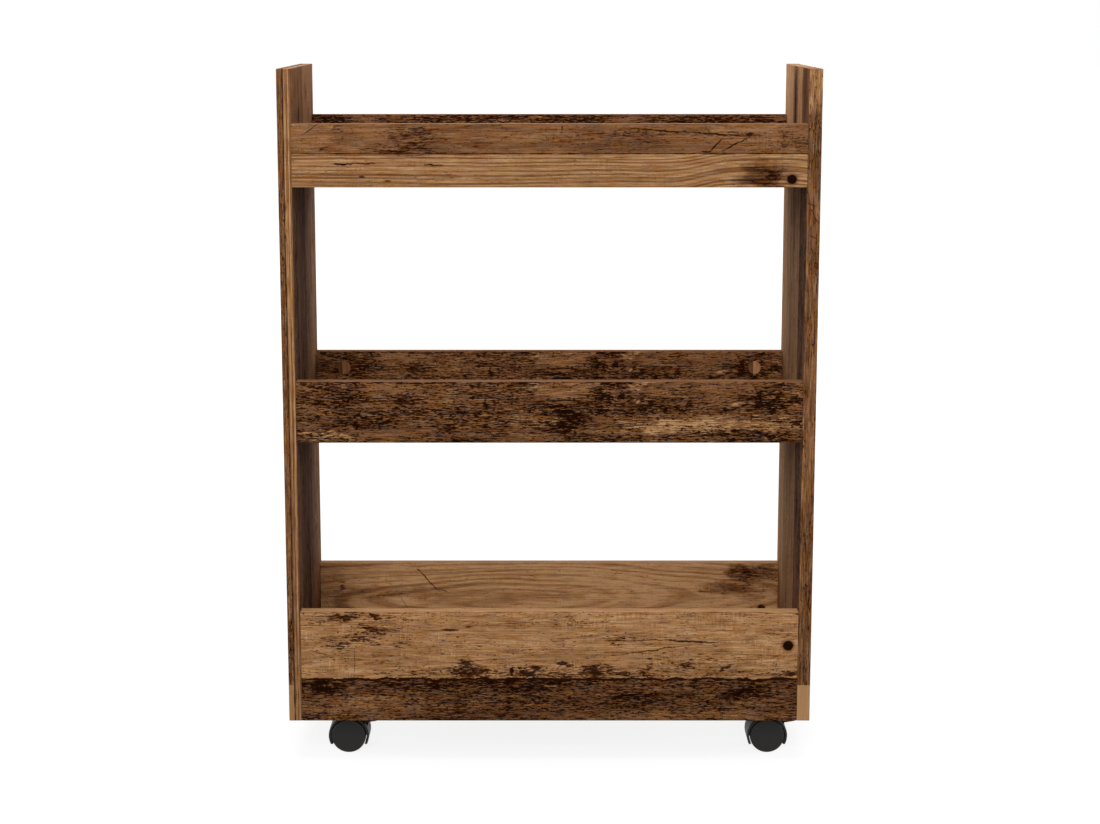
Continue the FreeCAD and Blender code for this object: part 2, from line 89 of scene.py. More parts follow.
class Wiring:
    """Adds nodes to one tree and links them. A plain number may stand wherever a value may."""

    def __init__(self, tree):
        self.tree = tree

    def add(self, kind, **settings):
        node = self.tree.nodes.new("ShaderNode" + kind)
        for name, value in settings.items():
            setattr(node, name, value)
        return node

    def feed(self, socket, value):
        if isinstance(value, Value):
            self.tree.links.new(value.socket, socket)
        else:
            socket.default_value = value

    def feed_all(self, node, inputs, output=0):
        """Feeds a node's inputs, given by name or number, and returns one of its outputs."""
        for place, value in inputs.items():
            self.feed(node.inputs[place], value)
        return Value(self, node.outputs[output])

    def math(self, operation, *values, clamp=False):
        node = self.add("Math", operation=operation, use_clamp=clamp)
        return self.feed_all(node, dict(enumerate(values)))

    def reach(self, a, b):
        """How far a point is from the middle, from its two coordinates."""
        return self.math("SQRT", a * a + b * b)

    def blend(self, share, first, second):
        node = self.add("Mix", data_type="FLOAT")
        return self.feed_all(node, {0: share, 2: first, 3: second})

    def tint(self, share, first, second, **settings):
        node = self.add("Mix", data_type="RGBA", **settings)
        return self.feed_all(node, {0: share, 6: first, 7: second}, 2)

    def step(self, value, low, high, start=0, end=1, kind="SMOOTHSTEP"):
        """A step from start to end while value goes from low to high."""
        node = self.add("MapRange", interpolation_type=kind)
        return self.feed_all(node, dict(enumerate((value, low, high, start, end))))

    def point(self, x, y, z):
        return self.feed_all(self.add("CombineXYZ"), {0: x, 1: y, 2: z})

    def split(self, vector):
        node = self.add("SeparateXYZ")
        self.feed(node.inputs[0], vector)
        return [Value(self, part) for part in node.outputs]

    def coordinate(self, name):
        return Value(self, self.add("TexCoord").outputs[name])

    def noise(self, point, detail=2, roughness=0.5, distortion=0, scale=1):
        """Noise spread evenly round zero, from about -1 to 1."""
        inputs = dict(Vector=point, Scale=scale, Detail=detail, Roughness=roughness, Distortion=distortion)
        return self.math("MULTIPLY_ADD", self.feed_all(self.add("TexNoise"), inputs, "Fac"), 4, -2)

    def grain(self, along, length, across, width, depth, **noise):
        """Noise drawn out to a length along the grain and a width across it."""
        return self.noise(self.point(along / length, across / width, depth), **noise)

    def bump(self, height, strength, distance):
        return self.feed_all(self.add("Bump"), dict(Strength=strength, Distance=distance, Height=height))


def as_words(name):
    """A name of this script as a label: at_along becomes At along."""
    return name.replace("_", " ").capitalize()


def node_group(*outputs):
    """Makes a node group of a function: its named inputs become sockets, its results go to the outputs.

    Called later, the function places its group in another tree and returns the outputs, or the only one.
    """

    def build(fill):
        tree = bpy.data.node_groups.new(as_words(fill.__name__), "ShaderNodeTree")
        inputs = list(inspect.signature(fill).parameters.values())[1:]
        for given in inputs:
            kind = "NodeSocketVector" if given.name == "normal" else "NodeSocketFloat"
            socket = tree.interface.new_socket(as_words(given.name), in_out="INPUT", socket_type=kind)
            if given.default is not given.empty:
                socket.default_value = given.default
        for label in outputs:
            kind = "NodeSocketColor" if label == "Colour" else "NodeSocketFloat"
            tree.interface.new_socket(label, in_out="OUTPUT", socket_type=kind)
        wires = Wiring(tree)
        starts = tree.nodes.new("NodeGroupInput").outputs
        ends = tree.nodes.new("NodeGroupOutput").inputs
        results = fill(wires, *[Value(wires, starts[i]) for i in range(len(inputs))])
        for end, value in zip(ends, results if len(outputs) > 1 else [results]):
            wires.feed(end, value)

        def place(wires, *values, **named):
            node = wires.add("Group", node_tree=tree)
            wires.feed_all(node, dict(enumerate(values)))
            wires.feed_all(node, {as_words(name): value for name, value in named.items()})
            made = [Value(wires, part) for part in node.outputs]
            return made if len(made) > 1 else made[0]

        return place

    return build


def linear(red, green, blue):
    """A colour given as screen values from 0 to 255, as the shader wants it."""

    def channel(value):
        value /= 255
        return value / 12.92 if value <= 0.04045 else ((value + 0.055) / 1.055) ** 2.4

    return (channel(red), channel(green), channel(blue), 1)


# Print effects shared by the boards: lengths are in millimetres, tone runs from 0, black, to 1, pale

PALE_CHIP_TONE, PRINT_CONTRAST = 0.93, 1.2
MARK_RAGGED, MARK_BLUR = 0.7, 0.45
RED_TINT = (1, 0.74, 0.84, 1)
FACING_FROM, FACING_TO = 0.6, 0.78
PRINT_TONES = (
    (0, (26, 9, 2)), (0.09, (44, 20, 7)), (0.2, (62, 35, 19)), (0.31, (79, 50, 31)), (0.42, (97, 64, 40)),
    (0.53, (115, 78, 50)), (0.64, (132, 91, 58)), (0.75, (150, 108, 70)), (0.86, (167, 124, 83)),
    (1, (192, 150, 106)),
)


@node_group("Colour")
def print_colour(wires, tone, grey, red):
    """Turns a tone into the wood print's brown, greyed or reddened a little."""
    ramp = wires.add("ValToRGB")
    stops = ramp.color_ramp.elements
    while len(stops) < len(PRINT_TONES):
        stops.new(0.5)
    for stop, (place, colour) in zip(stops, PRINT_TONES):
        stop.position = place
        stop.color = linear(*colour)
    brown = wires.feed_all(ramp, {0: tone})
    share = 1.25 - tone
    greyed = wires.feed_all(wires.add("HueSaturation"), {"Saturation": 1 - grey * share, "Color": brown})
    return wires.tint(red * share, greyed, RED_TINT, blend_type="MULTIPLY", clamp_factor=False)


@node_group("Tone")
def plank_grain(
    wires, along, across, line_place=0, mean=0.6, cloud=0.08, mottle=0.14, fibre=0.1, saw=0.06,
    line_depth=0, line_gap=5, line_bow=6, fleck_share=0.6, fleck_level=0.8, fleck_tone=0.12,
    patchiness=0.3, wear=0, crowd=0, speck_level=0.8, streak_share=0.4, streak_level=0.8, chip_share=0.6,
    chip_level=1.3, chip_crowd=0, seed=0,
):
    """One plank's print: cloudy tone, fibres, growth lines, dark worn flecks and streaks, and pale chips."""

    def field(length, width, shift, place=across, **noise):
        return wires.grain(along, length, place, width, seed + shift, **noise)

    def spread(value, level, soft, share):
        return wires.step(value, level - soft, level + soft) * share

    clouds = field(150, 17, 0, detail=3, roughness=0.6)
    mottles = field(30, 3.6, 5, detail=5, roughness=0.7)
    fibres = field(34, 1.4, 11, detail=4, roughness=0.7)
    bowed = line_place + field(210, 45, 23) * line_bow
    rings = wires.math("SINE", bowed / (line_gap * 0.3))
    lines = field(420, line_gap, 27, bowed, roughness=0.45) * 0.65 + rings * 0.4
    patch = field(70, 16, 31, detail=3, roughness=0.6)
    blot = field(24, 3.6, 43, detail=4, roughness=0.7, distortion=0.25)
    grit = field(8.5, 1.4, 47, detail=3, roughness=0.65, distortion=0.3)
    speck = field(5, 1.3, 55, distortion=0.3)
    streak = field(30, 1, 51, detail=4, roughness=0.6)
    chip = field(15, 1.15, 59, detail=4, roughness=0.62)
    saw_marks = field(1.5, 15, 67, roughness=0.6)
    sawn = wires.step(field(45, 22, 71), -0.2, 0.6)
    worn = field(240, 48, 37, detail=3, roughness=0.55)

    crowded = patch * patchiness + crowd + worn * wear
    flecks = spread(blot * 0.45 + grit * 1.05 + crowded, fleck_level, 0.16, fleck_share)
    specks = spread(speck + crowded * 0.6, speck_level, 0.12, fleck_share)
    streaks = spread(streak + crowded * 0.5, streak_level, 0.15, streak_share)
    chips = spread(chip + chip_crowd, chip_level, 0.15, chip_share)

    tone = mean + clouds * cloud + mottles * mottle + fibres * fibre + saw_marks * sawn * saw
    tone = tone - wires.step(lines, -0.3, 0.7) * line_depth
    burnt = wires.math("MULTIPLY_ADD", fibres + mottles, 0.07, fleck_tone)
    tone = wires.blend(chips, tone, PALE_CHIP_TONE)
    for mask in (streaks, specks, flecks):
        tone = wires.blend(mask, tone, burnt)
    return mean + (tone - mean) * PRINT_CONTRAST


@node_group("Value")
def soft_spot(wires, along, across, at_along, at_across, half_length, half_width, amount):
    """A soft round or long spot, used to crowd flecks or shift the tone there."""
    along = (along - at_along) / half_length
    across = (across - at_across) / half_width
    reach = along * along + across * across
    return wires.math("EXPONENT", reach * reach * -0.7) * amount


@node_group("Mask")
def print_mark(wires, along, across, rim, sway, at_along, at_across, half_length, half_width, turn):
    """Mask of one mark in the print, a turned ellipse whose rim is broken up by the rim noise."""
    along = along - at_along
    across = across - at_across
    turn = wires.math("RADIANS", turn)
    cosine, sine = wires.math("COSINE", turn), wires.math("SINE", turn)
    lengthways = along * cosine + across * sine
    sideways = across * cosine - along * sine + sway
    reach = wires.reach(lengthways / half_length, sideways / half_width) + rim * MARK_RAGGED
    return wires.step(reach, 1 - MARK_BLUR, 1 + MARK_BLUR, 1, 0)


@node_group("Below", "Line")
def plank_seam(wires, along, across, at_across, wander=0.6, line_width=0.7, seed=0):
    """The wandering joint between two printed planks: which side a point is on, and the dark line itself."""
    slow = wires.noise(wires.point(along / 28, seed, 0), detail=4, roughness=0.65)
    height = across - (at_across + slow * wander)
    thick = wires.noise(wires.point(along / 17, seed, 7), detail=3)
    width = wires.math("MAXIMUM", line_width * (thick + 1), 0.12)
    line = wires.step(wires.math("ABSOLUTE", height) / width, 0.5, 1.3, 1, 0)
    return wires.step(height, -0.35, 0.35, 1, 0), line


@node_group("Hole", "Ring")
def nail_hole(wires, along, across, rim, at_along, at_across, radius):
    """A round nail hole in the print: the black hole, and the worn ring round it."""
    reach = wires.reach(along - at_along, across - at_across) / radius + rim * 0.12
    return wires.step(reach, 0.8, 1.02, 1, 0), wires.step(reach, 1, 1.55, 1, 0)


@node_group("Rim", "Sway", "Drift along", "Drift across")
def rim_noise(wires, along, across, seed):
    """Noise that breaks up the rims of the marks and bends them, and places that drift for the soft spots."""
    rim = wires.grain(along, 4.5, across, 1.8, seed, detail=4, roughness=0.7, distortion=0.3)
    sway = wires.grain(along, 13, across, 13, seed + 5) * 1.2
    drifts = []
    for place, shift, amount in ((along, 15, 16), (across, 25, 7)):
        drift = wires.grain(along, 26, across, 11, seed + shift, detail=3, roughness=0.6)
        drifts.append(wires.math("MULTIPLY_ADD", drift, amount, place))
    return rim, sway, *drifts


@node_group("Height")
def pressed_grain(wires, along, across, depth):
    """The shallow grain pressed into the printed sheet, as a height."""

    def field(length, width, detail):
        return wires.grain(along, length, across, width, depth / width, detail=detail, roughness=0.6)

    pores = wires.step(field(9, 0.8, 2), 0.2, 0.6, 0, -1)
    return field(34, 1.4, 3) + pores


@node_group("Grey", "Red")
def print_hue(wires, along, across, seed):
    """Slow drift of the print's hue: how grey and how red it is at a point."""

    def drift(length, width, shift, least, most):
        slow = wires.grain(along, length, across, width, seed + shift, detail=3, roughness=0.55)
        return wires.step(slow, -0.8, 0.8, least, most)

    return drift(28, 6, 0, -0.13, 0.13), drift(32, 7, 9, -0.32, 0.46)


@node_group("Level", "Upright", "Upward")
def board_faces(wires, normal):
    """Which way a board's surface points: up or down, to the front or back, and up alone."""
    x, y, z = wires.split(normal)
    facing = (wires.math("ABSOLUTE", z), wires.math("ABSOLUTE", y), z)
    return [wires.step(part, FACING_FROM, FACING_TO) for part in facing]


# Planks of the print: the values in which each differs from the plank grain's own

REDDISH_TAN = dict(
    mean=0.6, mottle=0.15, fibre=0.13, fleck_share=0.7, fleck_level=0.62, fleck_tone=0.19, patchiness=0.25,
    speck_level=0.62, streak_share=0.45, streak_level=0.45, saw=0.08,
)
HONEY_LINED = dict(
    mean=0.884, cloud=0.05, mottle=0.09, fibre=0.18, line_depth=0.26, line_gap=2.3, line_bow=2.2,
    fleck_share=0.55, fleck_tone=0.25, speck_level=0.75, streak_share=0.45, streak_level=0.55,
)
HONEY_ARCHED = dict(
    mean=0.855, cloud=0.07, mottle=0.12, fibre=0.15, line_depth=0.19, line_gap=2.9, line_bow=4.5,
    fleck_share=0.55, fleck_tone=0.25, speck_level=0.72, streak_level=0.6,
)
PLAIN_TAN = dict(
    mean=0.8, mottle=0.16, fibre=0.16, fleck_share=0.86, fleck_level=0.66, fleck_tone=0.19,
    speck_level=0.66, streak_share=0.55, streak_level=0.44, saw=0.13,
)
EDGE_DARK = dict(
    mean=0.575, mottle=0.2, fibre=0.25, fleck_share=0.85, fleck_level=0.6, fleck_tone=0.14, patchiness=0.5,
    wear=0.35, speck_level=0.62, streak_share=0.7, streak_level=0.35,
)
EDGE_HONEY = dict(
    mean=0.86, cloud=0.03, mottle=0.05, fibre=0.22, fleck_share=0.4, fleck_tone=0.2, speck_level=0.85,
    streak_share=0.6, streak_level=0.5, line_depth=0.32, line_gap=2, line_bow=0.8,
)
GREY_BROWN = dict(
    mean=0.67, fibre=0.2, fleck_share=0.8, fleck_level=0.7, fleck_tone=0.1, speck_level=0.72,
    streak_share=0.6, streak_level=0.4, wear=0.3,
)
BURNT_BROWN = dict(
    mean=0.552, mottle=0.2, fibre=0.22, fleck_share=0.9, fleck_level=0.2, fleck_tone=0.04, patchiness=0.42,
    speck_level=0.4, streak_share=0.65, streak_level=0.35, chip_share=0.8, chip_level=0.78,
)
SHADED_BROWN = BURNT_BROWN | dict(
    mean=0.48, mottle=0.12, fleck_share=0.8, fleck_level=0.5, speck_level=0.65, wear=0.5,
)
BURNT_BLACK = dict(
    mean=0.485, mottle=0.19, fibre=0.2, fleck_share=0.9, fleck_level=0.16, fleck_tone=0.03, patchiness=0.25,
    speck_level=0.4, streak_share=0.65, streak_level=0.35, chip_level=0.95,
)

# Soft spots: place along and across the board, half length, half width, amount
# Crowds gather dark flecks, chips gather pale ones, shades lift or lower the tone

TOP_FRONT_CROWDS = (
    (-232, 66, 10, 4, 0.5), (-150, 56, 28, 13, 0.36), (-150, 60, 9, 6, 0.36), (-262, 42, 24, 4, 0.32),
    (-160, 42, 36, 4.5, 0.43), (-95, 46, 26, 8, 0.18), (60, 50, 60, 12, 0.18), (85, 62, 34, 5, 0.25),
    (176, 60, 50, 4, 0.32), (268, 52, 20, 10, 0.5), (221, 62, 22, 5, 0.25), (-160, 18, 70, 9, 0.18),
    (80, 12, 40, 8, 0.14), (241, 12, 5, 9, 0.45), (230, 12, 14, 9, 0.12), (252, 12, 8, 7, 0.25),
)
TOP_FRONT_SHADES = (
    (236, 13, 26, 16, -0.3), (229, 11, 13, 9, -0.1), (241, 12, 6, 9, -0.26), (253, 10, 6, 7, -0.2),
    (-265, 60, 30, 18, 0.1), (75, 46, 60, 10, -0.07), (-110, 50, 60, 16, -0.04), (215, 64, 50, 7, 0.1),
    (-30, 60, 50, 9, 0.04),
)
MIDDLE_CROWDS = (
    (-255, 48, 40, 16, 0.08), (-200, 40, 45, 18, 0.16), (-187, 60, 16, 11, -0.22), (-160, 41, 22, 8, 0.18),
    (-95, 36, 34, 9, 0.22), (-120, 58, 40, 8, -0.06), (-130, 16, 90, 10, -0.07), (-57, 10, 13, 4, 0.28),
    (-60, 62, 30, 9, 0.04), (-8, 40, 24, 10, 0.1), (20, 24, 19, 12, 0.38), (35, 36, 26, 5, 0.18),
    (57, 51, 6, 17, 0.38), (70, 63, 11, 4, 0.3), (12, 60, 34, 10, -0.2), (118, 46, 50, 8, 0.18),
    (120, 64, 50, 6, -0.08), (190, 60, 50, 9, -0.16), (262, 45, 24, 6, 0.3), (236, 50, 4, 16, 0.22),
    (110, 19, 55, 8, -0.18), (210, 24, 70, 10, -0.16), (100, 5, 60, 4, 0.12), (240, 8, 48, 4, 0.26),
)
MIDDLE_CHIPS = (
    (190, 20, 110, 13, 0.28), (-10, 20, 45, 8, 0.3), (60, 68, 60, 4, 0.4), (-248, 9, 36, 5, 0.85),
    (-45, 28, 24, 6, 0.41), (-8, 25, 12, 4, 0.5), (100, 66, 18, 4, 0.41), (100, 20, 34, 7, 0.33),
    (150, 18, 42, 10, 0.52), (235, 22, 60, 9, 0.46), (30, 40, 20, 6, 0.11), (210, 45, 6, 3, 0.6),
    (280, 57, 8, 2.5, 0.68), (-20, 69, 7, 2, 0.68),
)
MIDDLE_SHADES = (
    (-187, 60, 14, 12, 0.05), (-140, 58, 40, 8, 0.03), (10, 62, 34, 9, 0.05), (125, 19, 48, 9, 0.09),
    (225, 22, 60, 10, 0.05), (-30, 24, 30, 6, 0.05), (-252, 9, 30, 5, 0.06), (195, 62, 50, 8, 0.06),
)
TOP_BACK_CROWDS = (
    (-258, 60, 26, 16, 0.35), (-222, 66, 18, 7, -0.35), (-100, 60, 70, 12, 0.17), (20, 60, 40, 12, 0.24),
    (91, 65, 20, 8, -0.28), (200, 60, 70, 12, 0.21),
)
BOTTOM_FRONT_CROWDS = (
    (-225, 106, 62, 24, 0.15), (190, 70, 100, 14, 0.14), (-60, 66, 70, 10, 0.12), (-239, 123, 22, 6, 0.7),
    (-199, 125, 6, 5, 0.94), (-203, 110, 14, 5, 0.7), (-207, 97, 13, 4, 0.61), (-224, 99, 4, 7, 0.56),
    (-240, 88, 13, 3, 0.47), (-173, 91, 14, 3, 0.37), (-99, 63, 18, 7, 0.61), (-26, 58, 6, 6, 0.75),
    (78, 95, 15, 6, 0.51), (20, 69, 10, 5, 0.75), (54, 64, 12, 11, 0.56), (115, 64, 6, 11, 0.56),
    (155, 66, 12, 7, 0.42), (205, 63, 6, 5, 0.8), (274, 57, 10, 5, 0.84), (0, 55, 280, 4, 0.28),
    (10, 57, 125, 8, 0.31), (0, 128, 290, 3, 0.11), (-262, 41, 28, 8, 0.5), (-33, 43, 52, 8, 0.41),
    (-150, 43, 50, 5, 0.19), (99, 29, 24, 6, 0.41), (221, 33, 22, 8, 0.41), (-230, 16, 55, 14, -0.14),
    (140, 6, 150, 6, -0.19), (70, 40, 30, 6, -0.11),
)
BOTTOM_FRONT_CHIPS = (
    (8, 42, 7, 3, 0.9), (215, 53.5, 60, 2.6, 1.05), (80, 53, 60, 2, 0.7), (130, 45, 20, 3, 0.4),
)
BOTTOM_FRONT_SHADES = (
    (0, 65, 600, 200, 0.025), (-220, 17, 75, 14, 0.12), (140, 6, 150, 6, 0.12), (-150, 84, 80, 20, -0.02),
    (200, 110, 80, 14, 0.03),
)
# The last crowd here and the second shade below are painted shade: they darken the rail's left end beside the
# left panel.
BOTTOM_BACK_CROWDS = (
    (243, 118, 16, 12, 0.35), (262, 108, 34, 20, 0.42), (216, 97, 32, 8, 0.42), (-255.8, 97.5, 4.6, 7, 0.9),
    (-190, 92, 66, 8, 0.26), (-270, 90, 20, 40, 0.22),
)
BOTTOM_BACK_SHADES = (
    (-195, 93, 70, 8, -0.14), (-285, 95, 40, 40, -0.12), (241, 119, 14, 11, -0.3), (268, 119, 20, 10, -0.3),
    (222, 98, 28, 7, -0.25), (254, 100, 30, 17, -0.1), (85, 86, 4.5, 14, 0.04),
)
LEFT_PANEL_CROWDS = (
    (760, -55, 70, 75, -0.4), (560, -95, 90, 20, 0.25), (330, -70, 70, 26, 0.3), (480, 20, 60, 18, 0.3),
    (210, 70, 80, 20, 0.3), (690, 80, 40, 24, 0.25),
)
LEFT_PANEL_SHADES = (
    (770, -55, 60, 75, 0.08), (420, 75, 200, 14, 0.1), (600, 5, 140, 12, -0.1), (200, 20, 120, 16, -0.08),
)
RIGHT_PANEL_CROWDS = (
    (770, -70, 90, 50, -0.5), (560, -90, 120, 24, 0.35), (300, -85, 120, 26, 0.35), (420, 60, 50, 16, 0.35),
    (180, 85, 60, 14, 0.3), (620, 95, 40, 14, 0.3),
)
# The first shade, at the top of the rear planks, is painted light: the top of the panel is printed paler, as
# if lit there.
RIGHT_PANEL_SHADES = (
    (768, 78, 64, 46, 0.14), (768, -30, 60, 30, 0.06), (750, 12, 46, 17, -0.5), (640, 4, 90, 12, -0.2),
    (770, -76, 45, 16, -0.16), (400, 0, 330, 40, 0.02), (330, -6, 120, 9, -0.12), (170, 20, 150, 90, 0.06),
)
RIGHT_EDGE_SHADES = (
    (780, 292, 40, 30, 0.25), (735, 297, 20, 7, -0.14), (690, 294, 24, 8, -0.06), (360, 292, 40, 30, 0.05),
)

# Cracks and scratches: place along and across, half length, half width, turn in degrees, tone, strength

TOP_FRONT_CRACKS = (
    (-262.7, 64.3, 11.5, 0.8, 34, 0.05, 0.75), (-173, 39.6, 11, 1.1, 0, 0.03, 1),
    (-143, 43.4, 18, 1.1, 2, 0.05, 0.9), (-125, 54, 16, 0.8, 1, 0.1, 0.7), (14, 65, 3.8, 1, 80, 0.05, 0.8),
    (123, 62.6, 31, 1.3, -4.3, 0.07, 0.9), (187, 58.6, 35, 1.2, -3, 0.07, 0.95),
    (206.6, 48.5, 16, 1, 27.5, 0.03, 0.95), (182.9, 46.2, 10.4, 1.2, 45, 0.03, 0.95),
    (220.7, 59, 4, 2.6, 20, 0.06, 0.9), (173, 39.5, 4, 1.8, 0, 0.06, 0.9),
    (-211, 26.2, 25, 1, 1.5, 0.1, 0.9), (-230, 25.9, 8, 1.5, 0, 0.02, 1),
    (-128.7, 24.9, 9.5, 1.2, 0, 0.08, 0.95), (-207.4, 11.7, 3, 1.7, 0, 0.12, 0.8),
    (-179, 7.2, 3.4, 1.6, 0, 0.15, 0.7), (-149, 34.9, 15, 0.7, 3, 0.08, 0.8),
)
MIDDLE_CRACKS = (
    (-139, 38.5, 19, 0.9, -28, 0.72, 0.5), (236, 52, 12, 1.2, -62, 0.04, 0.8),
    (-18.7, 68.6, 5, 1.1, 0, 0.98, 0.8), (99.5, 46.3, 2.4, 1.9, 40, 0.95, 0.85),
    (209, 44, 4.4, 1.7, 14, 0.98, 0.85), (280, 56.6, 6, 1.5, 0, 0.92, 0.8),
    (119, 30.5, 7, 1.2, -4, 0.9, 0.7),
)
BOTTOM_FRONT_CRACKS = (
    (-263, 81, 13, 0.7, -14, 0.15, 0.6), (-223.6, 68, 15, 0.6, 90, 0.2, 0.6),
    (-114, 108.6, 9.5, 1.7, 0, 0.06, 0.9), (-93, 112, 3.4, 1.4, 0, 0.1, 0.8),
    (-43.5, 60, 4.6, 3, 80, 0.03, 1), (28, 121, 9, 0.7, -48, 0.2, 0.6), (118, 96.5, 26, 0.7, 1, 0.1, 0.8),
    (163, 94.6, 27, 1.5, -3, 0.08, 0.9), (118, 84.5, 42, 0.8, 8.5, 0.08, 0.8),
    (190, 107.6, 100, 0.9, 0, 0.5, 0.5), (190, 110.4, 100, 1.3, 0, 0.95, 0.4),
)
LEFT_PANEL_CRACKS = (
    (740, -36, 11, 8.5, 14, 0.1, 0.85), (742, -35, 34, 2.6, 2, 0.3, 0.6), (763, 33, 9, 6.5, -12, 0.12, 0.8),
    (756, 35, 26, 2.4, -2, 0.3, 0.6), (750, 99, 17, 4, 3, 0.15, 0.7), (520, 62, 38, 1.2, 2, 0.08, 0.8),
    (300, 18, 30, 1.2, -3, 0.08, 0.8), (130, 96, 22, 1.4, 1, 0.08, 0.8),
)
RIGHT_PANEL_CRACKS = (
    (748, 12, 36, 11, 0, 0.05, 0.9), (680, 14, 40, 2, 0, 0.06, 0.9), (610, 70, 34, 1.1, 2, 0.1, 0.8),
    (350, 96, 28, 1.2, -2, 0.1, 0.8), (230, 5, 40, 1.2, 1, 0.08, 0.8), (120, 60, 16, 1.4, -4, 0.08, 0.8),
)
RIGHT_EDGE_CRACKS = (
    (630, 294.6, 9.2, 0.8, -28.8, 0.08, 0.85), (608, 293.2, 5.2, 0.8, -67, 0.08, 0.85),
    (644, 290, 5, 0.8, -60, 0.1, 0.7),
)
BOTTOM_BACK_CRACKS = (
    (-152, 110, 18, 1.1, -48, 0.06, 0.9), (-133, 95, 7, 0.9, -20, 0.1, 0.8),
    (-181, 80, 12, 0.8, -58, 0.25, 0.6),
)


# Board materials

CRACK_WIDTH_SHARE = 0.68
NAIL_TONE, NAIL_RING_TONE, NAIL_RING_SHARE = 0.01, 0.3, 0.35
RAIL_SEAM_TONE, PLANK_SEAM_TONE, EDGE_SEAM_TONE = 0.06, 0.08, 0.15
DARK_ROUGHNESS, PALE_ROUGHNESS, PRINT_SPECULAR = 0.86, 0.72, 0.012
PRINT_BUMP, PLASTIC_BUMP, BUMP_HEIGHT = 0.25, 0.2, 0.0001
RAIL_INSIDE, ARCH_HEART, UNDERSIDE_SHARE = 105, 11, 0.75
FOOT_TOP, FOOT_GRAIN = 90, 0.12
# Painted shade colour: panel faces are greyed below PANEL_SHADE_TOP, standing in for the grey of the cart's
# shaded inside.
PANEL_GREYING, PANEL_SHADE_TOP = 0.16, 740
SPLIT_WANDER, SPLIT_WIDTH = 0.15, 0.5


def new_material(name):
    material = bpy.data.materials.new(name)
    material.use_nodes = True
    shader = material.node_tree.nodes["Principled BSDF"]
    return material, Wiring(material.node_tree), shader


def board_places(wires, foot=0):
    """A board's own coordinates in millimetres, its foot at zero, and where its surface points."""
    inputs = dict(Vector=wires.coordinate("Object"), Scale=(1 / MM,) * 3, Location=(0, 0, -foot))
    places = wires.split(wires.feed_all(wires.add("Mapping"), inputs))
    return places, board_faces(wires, wires.coordinate("Normal"))


def gather(wires, along, across, spots):
    """The sum of soft spots at a point of a board."""
    return sum(soft_spot(wires, along, across, *spot) for spot in spots)


def add_cracks(wires, tone, along, across, rim, sway, cracks):
    for at_along, at_across, length, width, turn, crack_tone, strength in cracks:
        size = (length, CRACK_WIDTH_SHARE * width, turn)
        mask = print_mark(wires, along, across, rim, sway, at_along, at_across, *size)
        tone = wires.blend(mask * strength, tone, crack_tone)
    return tone


def add_nail(wires, tone, along, across, rim, nail):
    hole, ring = nail_hole(wires, along, across, rim, *nail)
    tone = wires.blend(ring * NAIL_RING_SHARE, tone, NAIL_RING_TONE)
    return wires.blend(hole, tone, NAIL_TONE)


def finish_print(wires, shader, tone, along, across, depth, seed=0, greying=0):
    """Colours the tone and gives the print its matt skin and its shallow pressed grain."""
    grey, red = print_hue(wires, along, across, seed)
    colour = print_colour(wires, tone, grey + greying, red)
    roughness = wires.step(tone, 0, 1, DARK_ROUGHNESS, PALE_ROUGHNESS, kind="LINEAR")
    bump = wires.bump(pressed_grain(wires, along, across, depth), PRINT_BUMP, BUMP_HEIGHT)
    wires.feed_all(shader, {"Base Color": colour, "Roughness": roughness})
    wires.feed_all(shader, {"Specular IOR Level": PRINT_SPECULAR, "Normal": bump})


def arch_lines(wires, along, across, at_along, at_across, stretch):
    """Growth lines that run in long nested arches round one place."""
    reach = wires.reach((along - at_along) / stretch, across - at_across)
    return wires.math("MAXIMUM", reach, ARCH_HEART)


def rail_print(
    name, foot, planks, seed, edge_mean, crowds=(), chips=(), shades=(), cracks=(), seam=None, nail=None,
    knot=None, arch=None, inside_lift=0,
):
    """A rail's print: one or two planks along it, its marks, its long edges, and on back rails a paler inside
    face, which is painted light.
    """
    material, wires, shader = new_material(name)
    (along, depth, across), (level, upright, upward) = board_places(wires, foot)
    rim, sway, *drift = rim_noise(wires, along, across, seed)
    gathered = dict(crowd=gather(wires, *drift, crowds), chip_crowd=gather(wires, *drift, chips))
    lines = across
    if arch:
        lines = arch_lines(wires, along, across, *arch)
    if knot:
        lines = across - soft_spot(wires, along, across, *knot)
    tones = [
        plank_grain(wires, along, across, lines, seed=seed + 3 * i, **gathered, **plank)
        for i, plank in enumerate(planks)
    ]
    tone = tones[0]
    if seam:
        below, line = plank_seam(wires, along, across, *seam, seed)
        tone = wires.blend(below, *tones)
    tone = add_cracks(wires, tone + gather(wires, *drift, shades), along, across, rim, sway, cracks)
    if seam:
        tone = wires.blend(line, tone, RAIL_SEAM_TONE)
    if nail:
        tone = add_nail(wires, tone, along, across, rim, nail)
    mean = wires.blend(upward, UNDERSIDE_SHARE * planks[-1]["mean"], edge_mean)
    edge = plank_grain(wires, along, depth, mean=mean, cloud=0.05, fleck_share=0.5, seed=seed + 9)
    # Painted light: the inside face of a back rail is printed paler, so it looks as brightly lit as a front
    # rail.
    if inside_lift:
        tone = tone + wires.step(depth, RAIL_INSIDE, RAIL_INSIDE + 3, inside_lift, 0)
    tone = wires.blend(level, tone, edge)
    finish_print(wires, shader, tone, along, across + depth, depth, seed)
    return material


def side_by_side(wires, along, across, planks, joints, seed, seed_step, crowd=0):
    """Planks side by side over a board, and the joints between them."""
    tone = None
    for i, plank in enumerate(planks):
        plank_seed = seed + seed_step * i
        plank_tone = plank_grain(wires, along, across, across, crowd=crowd, seed=plank_seed, **plank)
        if i:
            below, line = plank_seam(wires, along, across, joints[i - 1], seed=seed + i)
            plank_tone = wires.blend(line, wires.blend(below, tone, plank_tone), PLANK_SEAM_TONE)
        tone = plank_tone
    return tone


